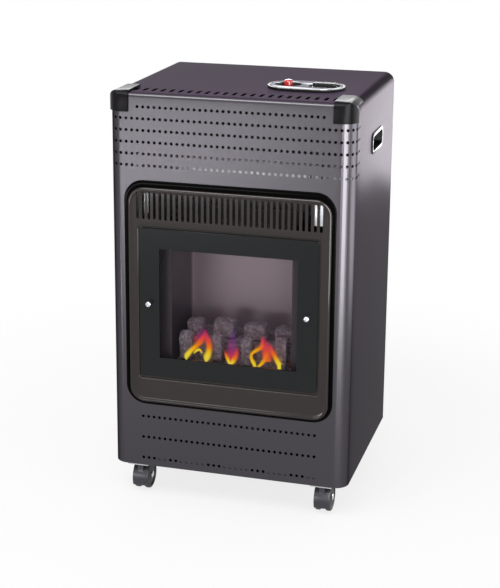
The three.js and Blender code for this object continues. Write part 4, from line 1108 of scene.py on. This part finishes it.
FLAME_Y = 31
FLAMES = {
    "left": (
        (1.2, ((-66, 284, 8, 0.35, 0), (-63, 294, 11, 0.25, 0.55), (-58, 306, 9, 0.12, 0.45),
            (-55, 322, 4, 0, 0))),
        (0, ((-85, 255, 2, 1, 0.8), (-84.5, 262, 6, 1, 1), (-77, 272, 5.5, 0.92, 1),
            (-66, 283, 6, 0.72, 1), (-57, 294, 7, 0.5, 1), (-51, 306, 5, 0.3, 0.8),
            (-50, 316, 2, 0.15, 0))),
        (-0.6, ((-49, 255, 3, 1, 0.8), (-47.5, 263, 8, 1, 1), (-44, 273, 7, 0.9, 1),
            (-43, 284, 7, 0.65, 1), (-46, 297, 7, 0.4, 0.95), (-50, 308, 4, 0.22, 0.7),
            (-51, 318, 1, 0.1, 0))),
        (-1.2, ((-71, 268, 1.5, 1, 0.6), (-66, 274, 3, 0.98, 1), (-60, 276, 3, 0.95, 1),
            (-56, 270, 2.5, 1, 0.6))),
    ),
    "middle": (
        (1.2, ((-4, 260, 5, 0.4, 0.9), (-3, 275, 10, 0.2, 0.85), (-2, 290, 10, 0.08, 0.65),
            (0, 306, 8, 0.02, 0.4), (0, 326, 5, 0, 0))),
        (0, ((-5, 252, 2, 1, 0.9), (-8, 260, 4, 0.95, 1), (-12, 270, 4, 0.66, 1),
            (-15, 281, 2, 0.4, 0))),
        (-0.6, ((-5, 252, 2, 1, 0.9), (-1, 259, 5, 0.95, 1), (4, 268, 6, 0.62, 1),
            (7, 279, 4.5, 0.35, 0.85), (8, 290, 2, 0.2, 0))),
    ),
    "right": (
        (1.2, ((62, 266, 9, 0.6, 0.9), (60, 282, 11, 0.45, 1), (57, 298, 8, 0.28, 0.8),
            (54, 314, 3, 0.15, 0))),
        (0, ((41, 252, 2.5, 1, 0.9), (37.5, 261, 5, 0.95, 1), (33, 270, 4, 0.84, 1),
            (34, 278, 3.5, 0.8, 1), (42, 285, 4.5, 0.8, 1), (51, 292, 5.5, 0.62, 1),
            (53, 303, 4.5, 0.4, 0.9), (52, 314, 1.5, 0.2, 0))),
        (-0.6, ((44, 254, 2, 0.95, 0.7), (51, 261, 4, 0.85, 1), (57, 270, 5, 0.72, 1),
            (60, 281, 6, 0.55, 1), (58, 292, 4, 0.4, 0))),
        (-1.2, ((82, 253, 3, 1, 0.9), (84, 262, 6.5, 1, 1), (79, 271, 6, 0.88, 1),
            (74, 280, 6, 0.66, 1), (68, 291, 5.5, 0.42, 0.9), (63, 304, 2, 0.22, 0))),
    ),
}


def flames():
    """Flames in the three gaps between the front coals."""
    for name, strokes in FLAMES.items():
        flame_piece(f"flame_{name}", strokes)


# ---- controls
def control_panel():
    """The bezel with its tub and wells, the silver plate in it, and the two controls."""
    button_x = CONTROL_X - WELL_SPREAD
    knob_x = CONTROL_X + WELL_SPREAD
    wells = (
        (button_x, circle(button_x, CONTROL_Y, BUTTON_WELL / 2), TOP - BUTTON_WELL_DEPTH, 7.8),
        (knob_x, circle(knob_x, CONTROL_Y, KNOB_WELL / 2), TOP - KNOB_WELL_DEPTH, 5),
    )
    bezel = prism("control_bezel_dressed", control_outline(0), "z", TOP + CLEARANCE, BEZEL_TOP)
    tub = prism("tub", control_outline(BEZEL_RIM + 0.6), "z", TUB_FLOOR, TOP + 1)
    combine(bezel, tub, operation="UNION")
    cuts = [prism("seat", control_outline(BEZEL_RIM), "z", BEZEL_TOP - 1.2, BEZEL_TOP + 1)]
    for _, outline, floor, _ in wells:
        cuts.append(prism("well", outline, "z", floor, ABOVE))
    for x, _, _, bore in wells:
        cuts.append(prism("hole", circle(x, CONTROL_Y, bore, 24), "z", TUB_FLOOR - 1, ABOVE))
    combine(bezel, *cuts)
    softened(bezel, 0.5, 2)
    finish(bezel, SATIN_BLACK, "cabinet", ["control_bezel"])
    low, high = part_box("control_plate")
    outline = control_outline(BEZEL_RIM + CLEARANCE)
    plate = prism("control_plate_dressed", outline, "z", low.z / MM, high.z / MM)
    combine(plate, *[prism("well", outline, "z", TOP, ABOVE) for _, outline, _, _ in wells])
    softened(plate, 0.4, 2)
    finish(plate, SILVER, "cabinet", ["control_plate"])
    button(button_x)
    knob(knob_x)


def button(x):
    low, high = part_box("ignition_button")
    radius = BUTTON_DIAMETER / 2
    top = high.z / MM
    profile = [
        (0, low.z / MM),
        (SPINDLE_RADIUS, low.z / MM),
        (SPINDLE_RADIUS, TUB_FLOOR + 6),
        (radius, TUB_FLOOR + 6),
        (radius, top - 4),
        (radius * 0.97, top - 2.8),
        (radius * 0.86, top - 1.6),
        (radius * 0.62, top - 0.6),
        (radius * 0.3, top - 0.1),
        (0, top),
    ]
    piece = lathe("ignition_button_dressed", profile, "z", (x, CONTROL_Y, 0), 40)
    finish(piece, RED, "ignition_button", ["ignition_button"], 40)


def knob(x):
    low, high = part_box("control_knob")
    radius = KNOB_DIAMETER / 2
    base = TOP - 6.5
    top = high.z / MM
    face = top - 6
    profile = [
        (0, low.z / MM),
        (SPINDLE_RADIUS, low.z / MM),
        (SPINDLE_RADIUS, base),
        (radius, base),
        (radius, face - 2.5),
        (radius - 0.6, face - 1.1),
        (radius - 2, face),
        (0, face),
    ]
    body = lathe("control_knob_dressed", profile, "z", (x, CONTROL_Y, 0), 64)
    flutes = []
    for i in range(KNOB_FLUTES):
        angle = 2 * math.pi * i / KNOB_FLUTES
        cx = x + (radius + 0.6) * math.cos(angle)
        cy = CONTROL_Y + (radius + 0.6) * math.sin(angle)
        flutes.append(prism("flute", circle(cx, cy, 1.1, 8), "z", base - 1, face - 2.4))
    combine(body, joined("flutes", flutes))
    half = radius - 2.6
    outline = rounded(x - half, x + half, CONTROL_Y - 5, CONTROL_Y + 5, 4.6, 8)
    grip = prism("grip", outline, "z", face - 1, top)
    softened(grip, 1.2, 3)
    combine(body, grip, operation="UNION")
    finish(body, SATIN_BLACK, "control_knob", ["control_knob"], 35)


def hand_grip(side, name):
    low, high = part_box(f"hand_grip_{name}")
    outer = max(abs(low.x), abs(high.x)) / MM
    inner = min(abs(low.x), abs(high.x)) / MM
    skin = HALF_WIDTH + CLEARANCE

    def along(outline, x0, x1):
        return prism("grip_part", outline, "x", *sorted((side * x0, side * x1)))

    grip = along(grip_outline(-2.5), skin, outer)
    grip.name = f"hand_grip_{name}_dressed"
    combine(grip, along(grip_outline(1.9), inner, skin + 0.5), operation="UNION")
    combine(grip, along(grip_outline(3.5), inner + 1.6, outer + 5))
    softened(grip, 0.5, 2)
    finish(grip, CAP_BLACK, "cabinet", [f"hand_grip_{name}"])


# ---- castors
def castor(name):
    """Twin wheels under a hood, with a bright cap on each end of the axle."""
    low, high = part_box(f"castor_wheels_{name}")
    x = (low.x + high.x) / 2 / MM
    y = depth_of((low.y + high.y) / 2)
    z = WHEEL_RADIUS
    wheels = []
    outside = WHEEL_INSIDE + WHEEL_WIDTH
    rim = [
        (AXLE_BORE, WHEEL_INSIDE),
        (WHEEL_RADIUS - 1.2, WHEEL_INSIDE),
        (WHEEL_RADIUS - 0.3, WHEEL_INSIDE + 0.5),
        (WHEEL_RADIUS, WHEEL_INSIDE + 1.6),
        (WHEEL_RADIUS, outside - 2.6),
        (WHEEL_RADIUS - 0.5, outside - 1.2),
        (WHEEL_RADIUS - 2.0, outside - 0.2),
        (WHEEL_RADIUS - 3.4, outside),
        (WHEEL_RADIUS - 5.0, outside - 0.3),
        (WHEEL_RADIUS - 6.2, outside - 1.8),
        (WHEEL_RADIUS - 12, outside - 1.4),
        (7.2, outside - 0.3),
        (AXLE_BORE, outside - 0.3),
    ]
    for side in (-1, 1):
        profile = [(radius, side * along) for radius, along in rim]
        wheels.append(lathe("wheel", profile, "x", (y, z, x), 56, closed=True))
    pair = joined(f"castor_wheels_{name}_dressed", wheels)
    finish(pair, TYRE, f"wheels_{name}", [f"castor_wheels_{name}"], 40)
    castor_hood(name, x, y, z, outside)
    castor_axle(name, x, y, z)


def castor_hood(name, x, y, z, outside):
    """The hood over the wheels, with its neck and the socket for the swivel stem."""
    inner = WHEEL_RADIUS + 1.2
    outer = inner + HOOD_THICK
    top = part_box(f"castor_hood_{name}")[1].z / MM
    stem = (x, y - CASTOR_TRAIL)
    sector = arc(y, z, outer, HOOD_START, HOOD_END, 28) + arc(y, z, inner, HOOD_END, HOOD_START, 28)
    shell = prism(f"castor_hood_{name}_dressed", sector, "x", x - outside, x + outside)
    softened(shell, 0.8, 3, 50)
    web = prism("web", circle(y, z, inner + 1, 48), "x", x - 5, x + 5)
    neck = block(x - 5, x + 5, y - 25, y - 8, z + 6, top)
    socket = prism("socket", circle(*stem, 8.5, 32), "z", top - 6, top)
    low_cut = block(x - 20, x + 20, y - 40, y + 40, -10, 12)
    combine(shell, web, neck, socket, operation="UNION")
    combine(
        shell,
        low_cut,
        prism("bore", circle(y, z, AXLE_BORE, 24), "x", x - 30, x + 30),
        prism("stem", circle(*stem, STEM_RADIUS, 20), "z", top - STEM_DEPTH, top + 1),
    )
    finish(shell, HOOD_GREY, f"castor_{name}", [f"castor_hood_{name}"], 35)


def castor_axle(name, x, y, z):
    low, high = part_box(f"castor_axle_{name}")
    half = (high.x - low.x) / 2 / MM
    end = [(0, 0), (3, 0.1), (5.0, 0.6), (5.9, 1.4), (3.4, 1.4)]
    profile = [(radius, inset - half) for radius, inset in end]
    profile += [(radius, half - inset) for radius, inset in reversed(end)]
    axle = lathe(f"castor_axle_{name}_dressed", profile, "x", (y, z, x), 32)
    finish(axle, CHROME, f"castor_{name}", [f"castor_axle_{name}"], 40)


# ---- nodes that keep their own mesh
def dress_kept_nodes():
    kept = {
        PAINT: ["base_tray", "rear_cover"],
        LINER: ["firebox_liner"],
        DARK_STEEL: ["burner_tray", "firebox_roof", "heat_deflector"],
        ZINC: ["burner_tube", "partition", "control_bracket", "gas_valve", "gas_pipe",
               "pilot_burner"],
        COAL: ["ember_bed"],
        SATIN_BLACK: ["piezo_igniter", "ignition_lead"],
        BRASS: ["valve_rotor", "inlet_nozzle", "injector_holder"],
        COPPER: ["thermocouple"],
    }
    for place in CASTOR_PLACES:
        kept[ZINC].append(f"castor_plate_{place}")
    for material, names in kept.items():
        for name in names:
            painted(frame["nodes"][name].data, material)


# ---- build
front_panel()
cabinet_shell()
for side, name in ((-1, "left"), (1, "right")):
    corner_cap(side, name)
    glass_screw(side, name)
    hand_grip(side, name)
surround_trim()
fascia()
glass_pane()
coals()
flames()
control_panel()
for place in CASTOR_PLACES:
    castor(place)
dress_kept_nodes()


# ---- camera, light and floor
CAMERA_PLACE = (0.6837, -2.5654, 1.1601)
CAMERA_TURN = (16.268, -15.408, -0.24)  # yaw, pitch and roll in degrees


def camera():
    """The photograph's viewpoint."""
    data = bpy.data.cameras.new("camera")
    data.sensor_width = 36
    data.lens = 92.4
    data.shift_x = 0.0383
    data.shift_y = -0.0901
    obj = linked("camera", data)
    yaw, pitch, roll = (math.radians(angle) for angle in CAMERA_TURN)
    turn = Matrix.Rotation(yaw, 4, "Z") @ Matrix.Rotation(math.pi / 2 + pitch, 4, "X")
    obj.matrix_world = Matrix.Translation(CAMERA_PLACE) @ turn @ Matrix.Rotation(-roll, 4, "Z")
    bpy.context.scene.camera = obj


def area_light(name, place, target, width, height, power):
    """A soft box that faces the target, out of the camera's sight."""
    data = bpy.data.lights.new(name, "AREA")
    data.shape = "RECTANGLE"
    data.size = width
    data.size_y = height
    data.energy = power
    obj = linked(name, data)
    direction = Vector(target) - Vector(place)
    turn = direction.to_track_quat("-Z", "Y").to_matrix().to_4x4()
    obj.matrix_world = Matrix.Translation(place) @ turn
    obj.visible_camera = False
    return obj


def reflector(*card):
    """A card that shows in reflections only."""
    area_light(*card).visible_diffuse = False


def lights():
    area_light("key", (-0.3, -1.25, 1.95), (0, -0.2, 0.6), 1.2, 1.0, 17)
    reflector("brow_card", (-0.3, -1.26, 1.96), (0, -0.2, 0.6), 1.2, 1.0, 26)
    reflector("right_strip", (0.75, -1.1, 0.66), (0.2, -0.2, 0.6), 0.66, 1.24, 42)
    reflector("right_panel", (0.98, 0.16, 0.58), (0.2, -0.2, 0.55), 1.0, 0.88, 16)
    reflector("rear_right", (0.5, 1.2, 0.5), (0.2, 0, 0.6), 0.5, 0.44, 7)
    reflector("low_front", (-1.05, -2.1, 0.17), (-0.05, -0.2, 0.5), 1.4, 0.22, 14)
    reflector("rear_card", (-0.35, 0.95, 1.3), (0, -0.1, 0.7), 1.2, 0.44, 18)


def shown_directly(tree):
    """1 for rays from the camera, from a reflection and through glass."""
    path = tree.nodes.new("ShaderNodeLightPath")
    shown = math_node(
        tree, "MAXIMUM", path.outputs["Is Camera Ray"], path.outputs["Is Transmission Ray"]
    )
    return math_node(tree, "MAXIMUM", shown, path.outputs["Is Glossy Ray"])


SURROUND_LIGHT = 0.7  # share of plain white that the surround lights the scene with


def world():
    """A soft surround, plain white where it is seen or reflected."""
    scene_world = bpy.data.worlds.new("studio")
    bpy.context.scene.world = scene_world
    scene_world.use_nodes = True
    tree = scene_world.node_tree
    background = tree.nodes["Background"]
    lift = tree.nodes.new("ShaderNodeMapRange")
    set_inputs(lift, {"To Min": SURROUND_LIGHT, "To Max": 1.0})
    link(tree, shown_directly(tree), lift.inputs["Value"])
    link(tree, lift.outputs["Result"], background.inputs["Strength"])
    background.inputs["Color"].default_value = WHITE


FLOOR_GLOW = 0.8  # share of plain white in what is seen of the floor beside the heater
GLOW_NEAR, GLOW_FAR = 0.5, 1.2  # distances over which that share rises to all of it


def floor():
    """A pale floor that takes the shadow near the heater and glows white farther away."""
    size = 40.0
    bm = bmesh.new()
    corners = [(-size, -size), (size, -size), (size, size), (-size, size)]
    bm.faces.new([bm.verts.new((x, y, 0)) for x, y in corners])
    obj = mesh_object("floor", bm)
    material, tree, shader = material_base("pale_floor")
    pale = (0.97, 0.97, 0.97, 1)
    set_inputs(shader, {"Base Color": pale, "Roughness": 0.9, "Specular IOR Level": 0.1})
    glow = tree.nodes.new("ShaderNodeEmission")
    glow.inputs["Color"].default_value = WHITE
    mix = tree.nodes.new("ShaderNodeMixShader")
    place = tree.nodes.new("ShaderNodeTexCoord")
    away = tree.nodes.new("ShaderNodeVectorMath")
    away.operation = "LENGTH"
    link(tree, place.outputs["Object"], away.inputs[0])
    rise = tree.nodes.new("ShaderNodeMapRange")
    rise.interpolation_type = "SMOOTHSTEP"
    set_inputs(rise, {"From Min": GLOW_NEAR, "From Max": GLOW_FAR, "To Min": FLOOR_GLOW})
    link(tree, away.outputs["Value"], rise.inputs["Value"])
    share = math_node(tree, "MULTIPLY", shown_directly(tree), rise.outputs["Result"])
    link(tree, share, mix.inputs["Fac"])
    link(tree, shader.outputs["BSDF"], mix.inputs[1])
    link(tree, glow.outputs["Emission"], mix.inputs[2])
    link(tree, mix.outputs["Shader"], tree.nodes["Material Output"].inputs["Surface"])
    obj.data.materials.append(material)


camera()
lights()
world()
floor()
bpy.context.scene.view_settings.view_transform = "Standard"
